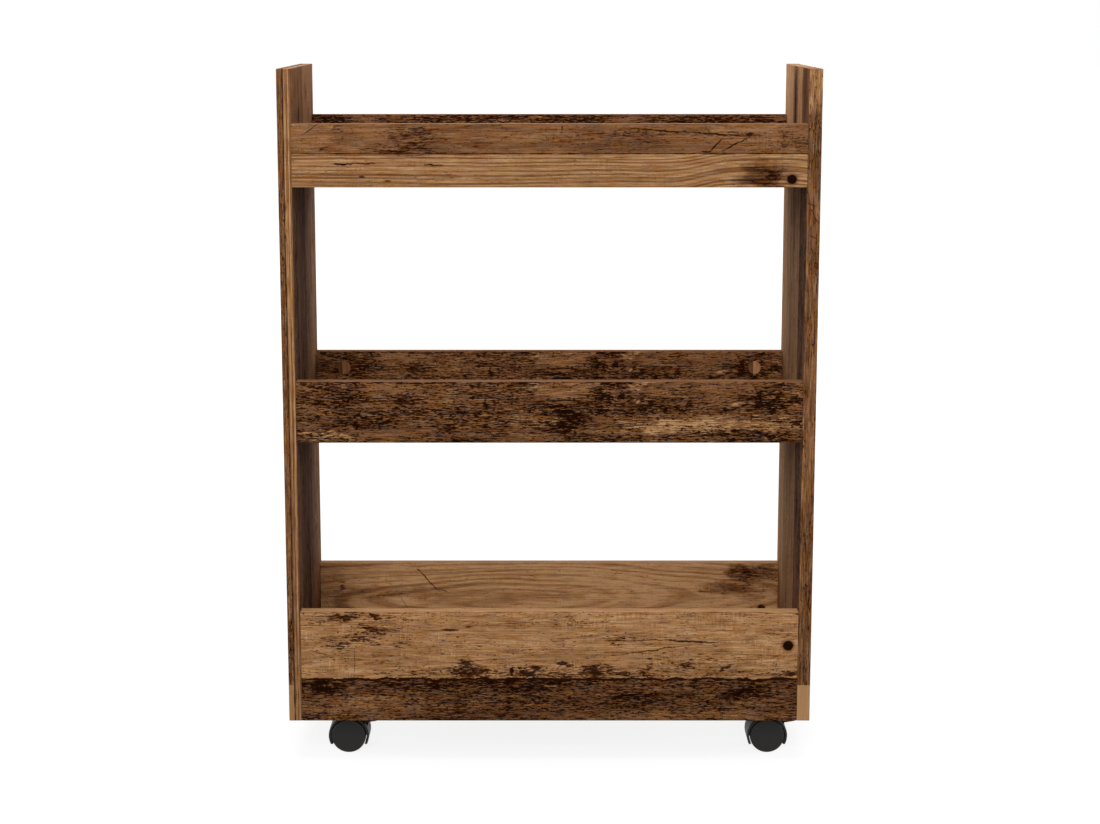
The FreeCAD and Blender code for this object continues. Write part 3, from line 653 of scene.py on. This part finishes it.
def shelf_print(name, seed):
    """A shelf's print: three planks side by side, their joints running the length of the shelf."""
    material, wires, shader = new_material(name)
    (along, across, height), faces = board_places(wires)
    planks = (HONEY_LINED | {"wear": 0.5}, PLAIN_TAN | {"wear": 0.6}, BURNT_BROWN | {"wear": 0.5})
    tone = side_by_side(wires, along, across, planks, (30, -42), seed, 3)
    finish_print(wires, shader, tone, along, across, height)
    return material


def panel_print(
    name, seed, planks, joints, crowds, shades, cracks, edge_planks, foot_tone, edge_split=None,
    edge_shades=(), edge_cracks=(),
):
    """A side panel's print: upright planks over its faces, and one or two strips of print round its edges."""
    material, wires, shader = new_material(name)
    (sideways, across, along), (level, upright, upward) = board_places(wires)
    rim, sway, *drift = rim_noise(wires, along, across, seed)
    crowd = gather(wires, *drift, crowds)
    tone = side_by_side(wires, along, across, planks, joints, seed, 5, crowd)
    tone = add_cracks(wires, tone + gather(wires, *drift, shades), along, across, rim, sway, cracks)
    edge_along = wires.blend(level, along, across)
    edges = [
        plank_grain(wires, edge_along, sideways, sideways, seed=seed + 20 + 4 * i, **plank)
        for i, plank in enumerate(edge_planks)
    ]
    edge = edges[0] + gather(wires, along, sideways, edge_shades)
    foot = wires.math("MULTIPLY_ADD", edges[0] - edge_planks[0]["mean"], FOOT_GRAIN, foot_tone)
    edge = wires.blend(wires.step(along, FOOT_TOP, FOOT_TOP + 1.5, 1, 0), edge, foot)
    edge = add_cracks(wires, edge, along, sideways, rim, sway, edge_cracks)
    if edge_split:
        below, line = plank_seam(wires, along, sideways, edge_split, SPLIT_WANDER, SPLIT_WIDTH, seed)
        edge = wires.blend(line, wires.blend(below, edges[1], edge), EDGE_SEAM_TONE)
    banded = wires.math("MAXIMUM", upright, level)
    tone = wires.blend(banded, tone, edge)
    # Painted shade: the panel faces, not their edges, are greyed below the top to stand in for the shaded
    # inside of the cart. The lit top is left as printed.
    shaded = wires.step(along, PANEL_SHADE_TOP - 100, PANEL_SHADE_TOP, PANEL_GREYING, 0)
    greying = wires.blend(banded, shaded, 0)
    finish_print(wires, shader, tone, along, across + sideways, sideways, greying=greying)
    return material


# Boards

BOARD_ROUNDING, BOARD_SMOOTHING = 0.7, 20
TOP_FOOT, MIDDLE_FOOT, BOTTOM_FOOT = 663, 375, 48


def enter(mode):
    bpy.ops.object.mode_set(mode=mode)


def choose(action):
    bpy.ops.mesh.select_all(action=action)


def settle():
    """Moves the active piece's place, turn and size into its mesh."""
    bpy.ops.object.transform_apply(location=True, rotation=True, scale=True)


def fit(piece, node, material, body, slot, ending="_finished"):
    """Names a piece after the node it stands for, finishes it and sets it on its body."""
    piece.name = node + ending
    piece.data.materials.clear()
    piece.data.materials.append(material)
    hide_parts(node)
    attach(piece, body)


def board(node, material):
    """A board with softly rounded edges, at its node's size and place."""
    low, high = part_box(node)
    bpy.ops.mesh.primitive_cube_add(size=1, location=(low + high) / 2)
    piece = bpy.context.object
    piece.scale = high - low
    settle()
    enter("EDIT")
    choose("SELECT")
    bpy.ops.mesh.bevel(offset=BOARD_ROUNDING * MM, segments=3, affect="EDGES")
    enter("OBJECT")
    bpy.ops.object.shade_smooth_by_angle(angle=math.radians(BOARD_SMOOTHING))
    fit(piece, node, material, "cart", "printed_board", "_printed")


def rail(node, *values, **marks):
    board(node, rail_print(as_words(node) + " print", *values, **marks))


for level, seed in (("top", 201), ("middle", 231), ("bottom", 261)):
    board(level + "_shelf", shelf_print(level.capitalize() + " shelf print", seed))
rail(
    "top_front_rail", TOP_FOOT, (REDDISH_TAN, HONEY_LINED), 2, 0.62, TOP_FRONT_CROWDS,
    shades=TOP_FRONT_SHADES, cracks=TOP_FRONT_CRACKS, seam=(37.2, 0.35, 0.5), nail=(267.8, 9.1, 5.8),
    knot=(237, 12, 70, 60, 12),
)
# Painted light: the inside faces of the back rails, here and below, are printed paler than their outer faces.
rail("top_back_rail", TOP_FOOT, (BURNT_BLACK,), 31, 0.5, TOP_BACK_CROWDS, inside_lift=0.05)
for place, lift in (("front", 0), ("back", 0.06)):
    rail(
        "middle_" + place + "_rail", MIDDLE_FOOT, (BURNT_BROWN,), 57, 0.56, MIDDLE_CROWDS, MIDDLE_CHIPS,
        MIDDLE_SHADES, MIDDLE_CRACKS, inside_lift=lift,
    )
rail(
    "bottom_front_rail", BOTTOM_FOOT, (PLAIN_TAN, BURNT_BLACK), 74, 0.86, BOTTOM_FRONT_CROWDS,
    BOTTOM_FRONT_CHIPS, BOTTOM_FRONT_SHADES, BOTTOM_FRONT_CRACKS, seam=(49.9, 3.4, 1.4),
    nail=(273.7, 89.8, 6.4),
)
rail(
    "bottom_back_rail", BOTTOM_FOOT, (HONEY_ARCHED,), 93, 0.8, BOTTOM_BACK_CROWDS,
    shades=BOTTOM_BACK_SHADES, cracks=BOTTOM_BACK_CRACKS, nail=(264.6, 72.4, 5), arch=(-55, 84, 8.5),
    inside_lift=0.11,
)
left_print = panel_print(
    "Left panel print", 110, (GREY_BROWN, SHADED_BROWN), (3,), LEFT_PANEL_CROWDS, LEFT_PANEL_SHADES,
    LEFT_PANEL_CRACKS, (EDGE_DARK, EDGE_HONEY), 0.86, edge_split=-293.4,
)
board("left_side_panel", left_print)
right_print = panel_print(
    "Right panel print", 150, (HONEY_LINED | {"wear": 0.4}, PLAIN_TAN | {"wear": 0.4}, SHADED_BROWN),
    (33, -53), RIGHT_PANEL_CROWDS, RIGHT_PANEL_SHADES, RIGHT_PANEL_CRACKS, (EDGE_DARK,), 0.94,
    edge_shades=RIGHT_EDGE_SHADES, edge_cracks=RIGHT_EDGE_CRACKS,
)
board("right_side_panel", right_print)


# Caster plastic, steel and small fittings

PLASTIC_SPECULAR, STEEL_GRAIN = 0.22, 1.6
LEFT_STRIP_END, RIGHT_STRIP_END = -253.2, 249.6


@node_group("Tone", "Gloss", "Height")
def moulded_skin(wires, scale):
    """Moulded plastic or plated steel: fine spark texture and broad cloudy gloss."""
    inputs = {0: wires.coordinate("Object"), "Scale": scale * (1 / MM)}
    place = wires.feed_all(wires.add("VectorMath", operation="SCALE"), inputs)
    fine, broad = [wires.noise(place, detail=3, roughness=0.6, scale=size) for size in (2.2, 0.07)]
    return wires.math("MULTIPLY_ADD", broad, 0.2, 0.5, clamp=True), broad * 0.06, fine


def skinned_material(name, dark, light, roughness, grain=1):
    """A material in two close shades; returns it with its wiring, its shader and the height of its skin."""
    material, wires, shader = new_material(name)
    tone, gloss, height = moulded_skin(wires, grain)
    colour = wires.tint(tone, linear(*dark), linear(*light))
    wires.feed_all(shader, {"Base Color": colour, "Roughness": gloss + roughness})
    return material, wires, shader, height


def moulded_plastic(name, dark, light, roughness):
    material, wires, shader, height = skinned_material(name, dark, light, roughness)
    bump = wires.bump(height, PLASTIC_BUMP, BUMP_HEIGHT)
    wires.feed_all(shader, {"Specular IOR Level": PLASTIC_SPECULAR, "Normal": bump})
    return material


def plated_steel(name, dark, light, roughness):
    material, wires, shader, height = skinned_material(name, dark, light, roughness, STEEL_GRAIN)
    shader.inputs["Metallic"].default_value = 1
    return material


def make_cap_print():
    """Caps cut from the printed sheet: a dark strip down their left, pale wood down their right."""
    material, wires, shader = new_material("Cover cap print")
    (sideways, depth, up), faces = board_places(wires)
    right_hand = wires.step(sideways, -1, 1)
    strip_end = wires.blend(right_hand, LEFT_STRIP_END, RIGHT_STRIP_END)
    share = wires.step(sideways - strip_end, -0.6, 0.6)
    along = up + depth
    mean = wires.blend(right_hand, 0.62, 0.8)
    pale = plank_grain(wires, along, sideways, mean=mean, fleck_share=0.15, seed=301)
    dark = plank_grain(wires, along, sideways, mean=0.4, fleck_share=0.6, seed=305)
    finish_print(wires, shader, wires.blend(share, dark, pale), up, sideways, depth)
    return material


caster_plastic = moulded_plastic("Charcoal caster plastic", (20, 20, 19), (32, 31, 30), 0.5)
wheel_plastic = moulded_plastic("Charcoal wheel plastic", (23, 21, 21), (34, 32, 31), 0.5)
dowel_wood = moulded_plastic("Beech dowel wood", (186, 146, 98), (206, 170, 122), 0.7)
cap_print = make_cap_print()
steel = plated_steel("Bright zinc steel", (150, 152, 154), (196, 197, 196), 0.36)
black_steel = plated_steel("Black oxide steel", (40, 40, 42), (62, 62, 64), 0.45)
FITTING_MATERIALS = (
    ("cam_cover_caps", cap_print), ("wood_dowels", dowel_wood), ("_hood", caster_plastic),
    ("_brake_lever", caster_plastic), ("_wheel", wheel_plastic), ("_lever_pin", black_steel),
)
for node_name, node in cad_nodes.items():
    finish = steel
    for ending, material in FITTING_MATERIALS:
        if node_name.endswith(ending):
            finish = material
    node.data.materials.clear()
    node.data.materials.append(finish)


# Caster pieces and caps, each modelled once and copied: lengths in millimetres, angles in degrees

SMOOTH_BELOW, SHARP_ABOVE, FLAT_BELOW, SAME_POINT = 32, 35, 0.5, 0.002
WHEEL_RADIUS, WHEEL_INSIDE, WHEEL_OUTSIDE, WHEEL_ROUNDING = 20, 5.5, 17, 1.5
WHEEL_FACE, WHEEL_RIM, HUB_RADIUS, WHEEL_BORE = 2, 3, 5, 2.55
HOOD_INSIDE, HOOD_OUTSIDE, HOOD_WIDTH, HOOD_TIP = 21, 23.5, 33, 10
HOOD_ROUNDING, HOOD_SOFTENING, LEVER_SOFTENING = 1, 0.5, 0.35
TRAIL, AXLE_LEVEL = 10, 20
WEB_WIDTH, WEB_FOOT, BOSS_RADIUS = 10, 23, 5.5
NECK_RADIUS, NECK_TOP, KINGPIN_BORE = 9, 45.7, 3.05
PIVOT_X, PIVOT_Z, PIN_BORE = 25.733, 35.733, 0.85
SLOT_BEHIND, SLOT_AHEAD, SLOT_BELOW, SLOT_ABOVE = 2.2, 20.1, 6.3, 4.2
LEVER_WIDTH, LEVER_GAP = 22, 0.4
LEVER_OUTLINE = (
    (-1.6, 1.5), (16.1, 3), (17.3, 2), (16.7, 0.6), (4.8, -1.3), (2.6, -4.9), (1.2, -1.7), (-0.9, -1.05),
)
CAP_RADIUS, CAP_THICKNESS, CAP_ROUNDING = 8, 0.8, 0.35
CAP_RIM, CAP_SLOPE, CAP_DISH = 0.9, 0.3, 0.12
HEAD_RADIUS, HEAD_HEIGHT, HEAD_ROUNDING, SHANK_RADIUS, SHANK_LENGTH = 3.5, 1.8, 1, 1.75, 12.5
SHANK_START, RECESS_LENGTH, RECESS_WIDTH, RECESS_START, RECESS_END = -0.5, 1.9, 0.4, -3, -0.8


def take(piece):
    """Selects one piece alone and makes it the active one."""
    for thing in bpy.context.selected_objects:
        thing.select_set(False)
    piece.select_set(True)
    bpy.context.view_layer.objects.active = piece


def pick(piece, kind, wanted):
    """Selects faces or edges of a piece in edit mode: wanted is asked with the corners of each."""
    enter("EDIT")
    bpy.ops.mesh.select_mode(type=kind)
    choose("DESELECT")
    enter("OBJECT")
    corners = [corner.co / MM for corner in piece.data.vertices]
    for part in piece.data.polygons if kind == "FACE" else piece.data.edges:
        part.select = wanted([corners[i] for i in part.vertices])
    enter("EDIT")


def push(x, y, z):
    """Extrudes what is selected by millimetres."""
    bpy.ops.mesh.extrude_region_move(TRANSFORM_OT_translate={"value": (x * MM, y * MM, z * MM)})


def round_stock(radius, length, middle, along="Y", corners=96):
    """A round bar to shape or to cut with."""
    place = [value * MM for value in middle]
    tilt = (math.pi / 2 if along == "Y" else 0, 0, 0)
    bpy.ops.mesh.primitive_cylinder_add(
        vertices=corners, radius=radius * MM, depth=length * MM, location=place, rotation=tilt
    )
    settle()
    return bpy.context.object


def block(low, high):
    """A block to cut with, between two corners."""
    middle = [(a + b) / 2 * MM for a, b in zip(low, high)]
    bpy.ops.mesh.primitive_cube_add(size=1, location=middle)
    piece = bpy.context.object
    piece.scale = [(b - a) * MM for a, b in zip(low, high)]
    settle()
    return piece


def modify(piece, kind, **settings):
    """Puts a modifier on a piece and applies it."""
    take(piece)
    bpy.ops.object.modifier_add(type=kind)
    change = piece.modifiers[-1]
    for name, value in settings.items():
        setattr(change, name, value)
    bpy.ops.object.modifier_apply(modifier=change.name)


def join_or_cut(piece, operation, *tools):
    """Joins tools to a piece or cuts them out of it, and puts the tools away."""
    for tool in tools:
        modify(piece, "BOOLEAN", operation=operation, object=tool, solver="EXACT")
        bpy.data.objects.remove(tool)


def round_rims(piece, radius, axis, rounding):
    """Rounds the two rims of a bar that lies along Y."""

    def on_rim(corner):
        return math.hypot(corner.x - axis[0], corner.z - axis[2]) > radius - 0.1

    def is_rim(corners):
        return abs(corners[0].y - corners[1].y) < 0.1 and all(map(on_rim, corners))

    pick(piece, "EDGE", is_rim)
    bpy.ops.mesh.bevel(offset=rounding * MM, segments=5, affect="EDGES")
    enter("OBJECT")


def smooth(piece):
    """Shades a piece smooth across its rounded edges and flat on its flat faces."""
    take(piece)
    bpy.ops.object.shade_smooth_by_angle(angle=math.radians(SMOOTH_BELOW))
    modify(piece, "WEIGHTED_NORMAL", keep_sharp=True)


def soften(piece, radius):
    """Rounds every sharp edge of a piece and smooths its shading."""
    take(piece)
    enter("EDIT")
    choose("SELECT")
    bpy.ops.mesh.remove_doubles(threshold=SAME_POINT * MM)
    bpy.ops.mesh.dissolve_limited(angle_limit=math.radians(FLAT_BELOW))
    enter("OBJECT")
    sharp = math.radians(SHARP_ABOVE)
    modify(piece, "BEVEL", width=radius * MM, segments=2, limit_method="ANGLE", angle_limit=sharp)
    smooth(piece)


def caster_wheel():
    """The front wheel of a pair, its axle through the origin: a closed face, a dished back and a hub."""
    middle = -(WHEEL_INSIDE + WHEEL_OUTSIDE) / 2
    wheel = round_stock(WHEEL_RADIUS, WHEEL_OUTSIDE - WHEEL_INSIDE, (0, middle, 0), corners=128)
    dish = WHEEL_OUTSIDE - WHEEL_FACE - WHEEL_INSIDE
    pick(wheel, "FACE", lambda corners: all(corner.y > middle for corner in corners))
    for inset, depth in (
        (WHEEL_RIM, -dish),
        (WHEEL_RADIUS - WHEEL_RIM - HUB_RADIUS, dish),
        (HUB_RADIUS - WHEEL_BORE, -dish),
    ):
        bpy.ops.mesh.inset(thickness=inset * MM)
        push(0, depth, 0)
    round_rims(wheel, WHEEL_RADIUS, (0, 0, 0), WHEEL_ROUNDING)
    smooth(wheel)
    return wheel


def caster_hood(braked):
    """The arched hood over a pair of wheels, its swivel axis through the origin."""
    axle = (TRAIL, 0, AXLE_LEVEL)
    far = 60
    hood = round_stock(HOOD_OUTSIDE, HOOD_WIDTH, axle)
    round_rims(hood, HOOD_OUTSIDE, axle, HOOD_ROUNDING)
    neck_foot = AXLE_LEVEL + HOOD_INSIDE / 2
    neck_middle = (0, 0, (NECK_TOP + neck_foot) / 2)
    join_or_cut(hood, "UNION", round_stock(NECK_RADIUS, NECK_TOP - neck_foot, neck_middle, "Z", 64))
    below_tips = block((-far, -far, -far), (far, far, HOOD_TIP))
    join_or_cut(hood, "DIFFERENCE", round_stock(HOOD_INSIDE, 2 * HOOD_WIDTH, axle), below_tips)
    web = round_stock((HOOD_INSIDE + HOOD_OUTSIDE) / 2, WEB_WIDTH, axle)
    join_or_cut(web, "DIFFERENCE", block((-far, -far, -far), (far, far, WEB_FOOT)))
    join_or_cut(web, "UNION", round_stock(BOSS_RADIUS, WEB_WIDTH, axle, corners=48))
    join_or_cut(hood, "UNION", web)
    kingpin_hole = round_stock(KINGPIN_BORE, far * 2, (0, 0, 0), "Z", 48)
    axle_hole = round_stock(WHEEL_BORE, 2 * WEB_WIDTH, axle, corners=48)
    join_or_cut(hood, "DIFFERENCE", kingpin_hole, axle_hole)
    if braked:
        side = LEVER_WIDTH / 2 + LEVER_GAP
        slot_low = (PIVOT_X - SLOT_BEHIND, -side, PIVOT_Z - SLOT_BELOW)
        slot_high = (PIVOT_X + SLOT_AHEAD, side, PIVOT_Z + SLOT_ABOVE)
        pin_hole = round_stock(PIN_BORE, 2 * HOOD_WIDTH, (PIVOT_X, 0, PIVOT_Z), corners=24)
        join_or_cut(hood, "DIFFERENCE", block(slot_low, slot_high), pin_hole)
    soften(hood, HOOD_SOFTENING)
    return hood


def brake_lever():
    """The foot tab of a front caster, its pivot through the origin: an outline drawn out to its width."""
    bpy.ops.mesh.primitive_plane_add(size=MM)
    lever = bpy.context.object
    enter("EDIT")
    choose("SELECT")
    bpy.ops.mesh.merge(type="CENTER")
    bpy.ops.mesh.select_mode(type="VERT")
    start_x, start_z = LEVER_OUTLINE[0]
    choose("SELECT")
    bpy.ops.transform.translate(value=(start_x * MM, -LEVER_WIDTH / 2 * MM, start_z * MM))
    for (x, z), (next_x, next_z) in zip(LEVER_OUTLINE, LEVER_OUTLINE[1:]):
        move = ((next_x - x) * MM, 0, (next_z - z) * MM)
        bpy.ops.mesh.extrude_vertices_move(TRANSFORM_OT_translate={"value": move})
    choose("SELECT")
    bpy.ops.mesh.edge_face_add()
    push(0, LEVER_WIDTH, 0)
    choose("SELECT")
    bpy.ops.mesh.normals_make_consistent(inside=False)
    enter("OBJECT")
    join_or_cut(lever, "DIFFERENCE", round_stock(PIN_BORE, 2 * LEVER_WIDTH, (0, 0, 0), corners=24))
    soften(lever, LEVER_SOFTENING)
    return lever


def cover_cap():
    """A round cap with a rounded rim and a shallow dish, its back on the origin, facing the front."""
    cap = round_stock(CAP_RADIUS, CAP_THICKNESS, (0, -CAP_THICKNESS / 2, 0), corners=64)
    round_rims(cap, CAP_RADIUS, (0, 0, 0), CAP_ROUNDING)
    face = 0.01 - CAP_THICKNESS
    pick(cap, "FACE", lambda corners: all(corner.y < face for corner in corners))
    bpy.ops.mesh.inset(thickness=CAP_RIM * MM)
    bpy.ops.mesh.inset(thickness=CAP_SLOPE * MM, depth=-CAP_DISH * MM)
    enter("OBJECT")
    smooth(cap)
    return cap


def plate_screw():
    """A pan head screw with a cross recess, pointing up, the underside of its head on the origin."""
    screw = round_stock(HEAD_RADIUS, HEAD_HEIGHT, (0, 0, -HEAD_HEIGHT / 2), "Z", 48)
    face = 0.1 - HEAD_HEIGHT
    pick(screw, "EDGE", lambda corners: all(corner.z < face for corner in corners))
    bpy.ops.mesh.bevel(offset=HEAD_ROUNDING * MM, segments=4, affect="EDGES")
    enter("OBJECT")
    shank_middle = (0, 0, SHANK_START + SHANK_LENGTH / 2)
    join_or_cut(screw, "UNION", round_stock(SHANK_RADIUS, SHANK_LENGTH, shank_middle, "Z", 32))
    for x, y in ((RECESS_LENGTH, RECESS_WIDTH), (RECESS_WIDTH, RECESS_LENGTH)):
        join_or_cut(screw, "DIFFERENCE", block((-x, -y, RECESS_START), (x, y, RECESS_END)))
    smooth(screw)
    return screw


def copied(piece, x, y, z, turn=(0, 0, 0)):
    """A copy of a piece with its own mesh, set down at a place and turned, in degrees."""
    take(piece)
    bpy.ops.object.duplicate()
    twin = bpy.context.object
    twin.rotation_euler = [math.radians(angle) for angle in turn]
    twin.location = (x * MM, y * MM, z * MM)
    settle()
    return twin


def joined(pieces):
    """Many copies made one piece."""
    take(pieces[0])
    for piece in pieces:
        piece.select_set(True)
    bpy.ops.object.join()
    return pieces[0]


NO_TURN, HALF_TURN, FACE_DOWN = (0, 0, 0), (0, 0, 180), (90, 0, 0)
CASTER_X, CASTER_Y = 244.5, 71
CAP_X, RAIL_FACE, SHELF_CAP_Y = 251, 100, 25
RAIL_CAP_LEVELS = (713, 425, 88)
SHELF_UNDERSIDES = (TOP_FOOT, MIDDLE_FOOT, BOTTOM_FOOT)
PLATE_UNDERSIDE, SCREW_SPREAD, SCREW_TURN = 46, 16, 37
SIDES = (-1, 1)

wheel_model, lever_model = caster_wheel(), brake_lever()
hood_models = {"front": caster_hood(True), "rear": caster_hood(False)}
for end, y in (("front", -CASTER_Y), ("rear", CASTER_Y)):
    for hand, x in (("left", -CASTER_X), ("right", CASTER_X)):
        caster = end + "_" + hand
        hood = copied(hood_models[end], x, y, 0)
        fit(hood, caster + "_caster_hood", caster_plastic, caster + "_swivel", "caster_plastic")
        for place, turn in (("front", NO_TURN), ("back", HALF_TURN)):
            wheel = copied(wheel_model, x + TRAIL, y, AXLE_LEVEL, turn)
            wheel_node = caster + "_caster_" + place + "_wheel"
            fit(wheel, wheel_node, wheel_plastic, caster + "_" + place + "_roller", "wheel_plastic")
        if end == "front":
            lever = copied(lever_model, x + PIVOT_X, y, PIVOT_Z)
            fit(lever, caster + "_brake_lever", caster_plastic, caster + "_brake", "caster_plastic")

cap_model, screw_model = cover_cap(), plate_screw()
caps = []
for cap_y, turn in ((RAIL_FACE, NO_TURN), (-RAIL_FACE, HALF_TURN)):
    for z, x in product(RAIL_CAP_LEVELS, SIDES):
        caps.append(copied(cap_model, x * CAP_X, cap_y, z, turn))
for z, x, y in product(SHELF_UNDERSIDES, SIDES, SIDES):
    caps.append(copied(cap_model, x * CAP_X, y * SHELF_CAP_Y, z, FACE_DOWN))
fit(joined(caps), "cam_cover_caps", cap_print, "cart", "cap_plastic")
screws = []
for x, y in product(SIDES, SIDES):
    for i, (across, along) in enumerate(product(SIDES, SIDES)):
        screw_x = x * CASTER_X + across * SCREW_SPREAD
        screw_y = y * CASTER_Y + along * SCREW_SPREAD
        turn = (0, 0, SCREW_TURN * i)
        screws.append(copied(screw_model, screw_x, screw_y, PLATE_UNDERSIDE, turn))
fit(joined(screws), "caster_plate_screws", steel, "cart", "zinc_steel")
for model in (wheel_model, lever_model, cap_model, screw_model, *hood_models.values()):
    bpy.data.objects.remove(model)


# Floor, light and camera

WHITE = (1, 1, 1, 1)
FLOOR_GREY = (0.16, 0.16, 0.16, 1)
GLOW_NEAR, GLOW_FAR, NEAR_GLOW, FAR_GLOW = 0.6, 3, 0.85, 1
RAYS_THAT_SHOW = ("Camera", "Glossy", "Transmission")
LIGHT_TARGET = (0, 0, 0.4)
WORLD_FILL = 0.34
CAMERA_PLACE, CAMERA_PITCH = (-0.003, -2.45, 0.8548), 9.58


def looked_at(wires):
    """1 for rays that show a surface, straight or by gloss or glass, and 0 for rays that light it."""
    rays = wires.add("LightPath").outputs
    camera, gloss, glass = [Value(wires, rays["Is " + kind + " Ray"]) for kind in RAYS_THAT_SHOW]
    return wires.math("MAXIMUM", wires.math("MAXIMUM", camera, gloss), glass)


def studio_floor():
    bpy.ops.mesh.primitive_plane_add(size=60, location=(0, 0, -0.0002))
    floor = bpy.context.object
    floor.name = "studio_floor"
    material, wires, shader = new_material("Pale studio floor")
    seen = looked_at(wires)
    length = wires.add("VectorMath", operation="LENGTH")
    away = wires.feed_all(length, {0: wires.coordinate("Object")}, "Value")
    glow = wires.step(away, GLOW_NEAR, GLOW_FAR, NEAR_GLOW, FAR_GLOW)
    wires.feed_all(shader, {"Base Color": FLOOR_GREY, "Roughness": 0.9, "Specular IOR Level": 0})
    wires.feed_all(shader, {"Emission Color": WHITE, "Emission Strength": seen * glow})
    floor.data.materials.append(material)


def studio_world():
    world = bpy.data.worlds.new("White studio")
    world.use_nodes = True
    bpy.context.scene.world = world
    wires = Wiring(world.node_tree)
    background = world.node_tree.nodes["Background"]
    strength = wires.blend(looked_at(wires), WORLD_FILL, 1)
    wires.feed_all(background, {"Color": WHITE, "Strength": strength})


def soft_box(name, place, size, power):
    lamp = bpy.data.lights.new(name, "AREA")
    lamp.size = size
    lamp.energy = power
    holder = bpy.data.objects.new(name, lamp)
    bpy.context.scene.collection.objects.link(holder)
    holder.location = place
    aim = holder.location.copy()
    aim.x, aim.y, aim.z = LIGHT_TARGET
    holder.rotation_euler = (aim - holder.location).to_track_quat("-Z", "Y").to_euler()


studio_floor()
studio_world()
soft_box("Key soft box", (-0.5, -4.4, 2.9), 2.6, 163)
soft_box("Back soft box", (0, 4.4, 2.9), 2.6, 163)
soft_box("Left soft box", (-3.2, 0, 0.55), 1, 80)
soft_box("Right soft box", (3.2, 0, 0.55), 1, 80)
soft_box("Top soft box", (0, -0.3, 3.2), 1.8, 36)

camera_data = bpy.data.cameras.new("Photo camera")
camera_data.sensor_width = 36
camera_data.lens = 69.12
camera_data.shift_x = 0.0029
camera_data.shift_y = -0.04
camera = bpy.data.objects.new("Photo camera", camera_data)
bpy.context.scene.collection.objects.link(camera)
camera.location = CAMERA_PLACE
camera.rotation_euler = (math.radians(90 - CAMERA_PITCH), 0, 0)
bpy.context.scene.camera = camera
bpy.context.scene.view_settings.view_transform = "Standard"
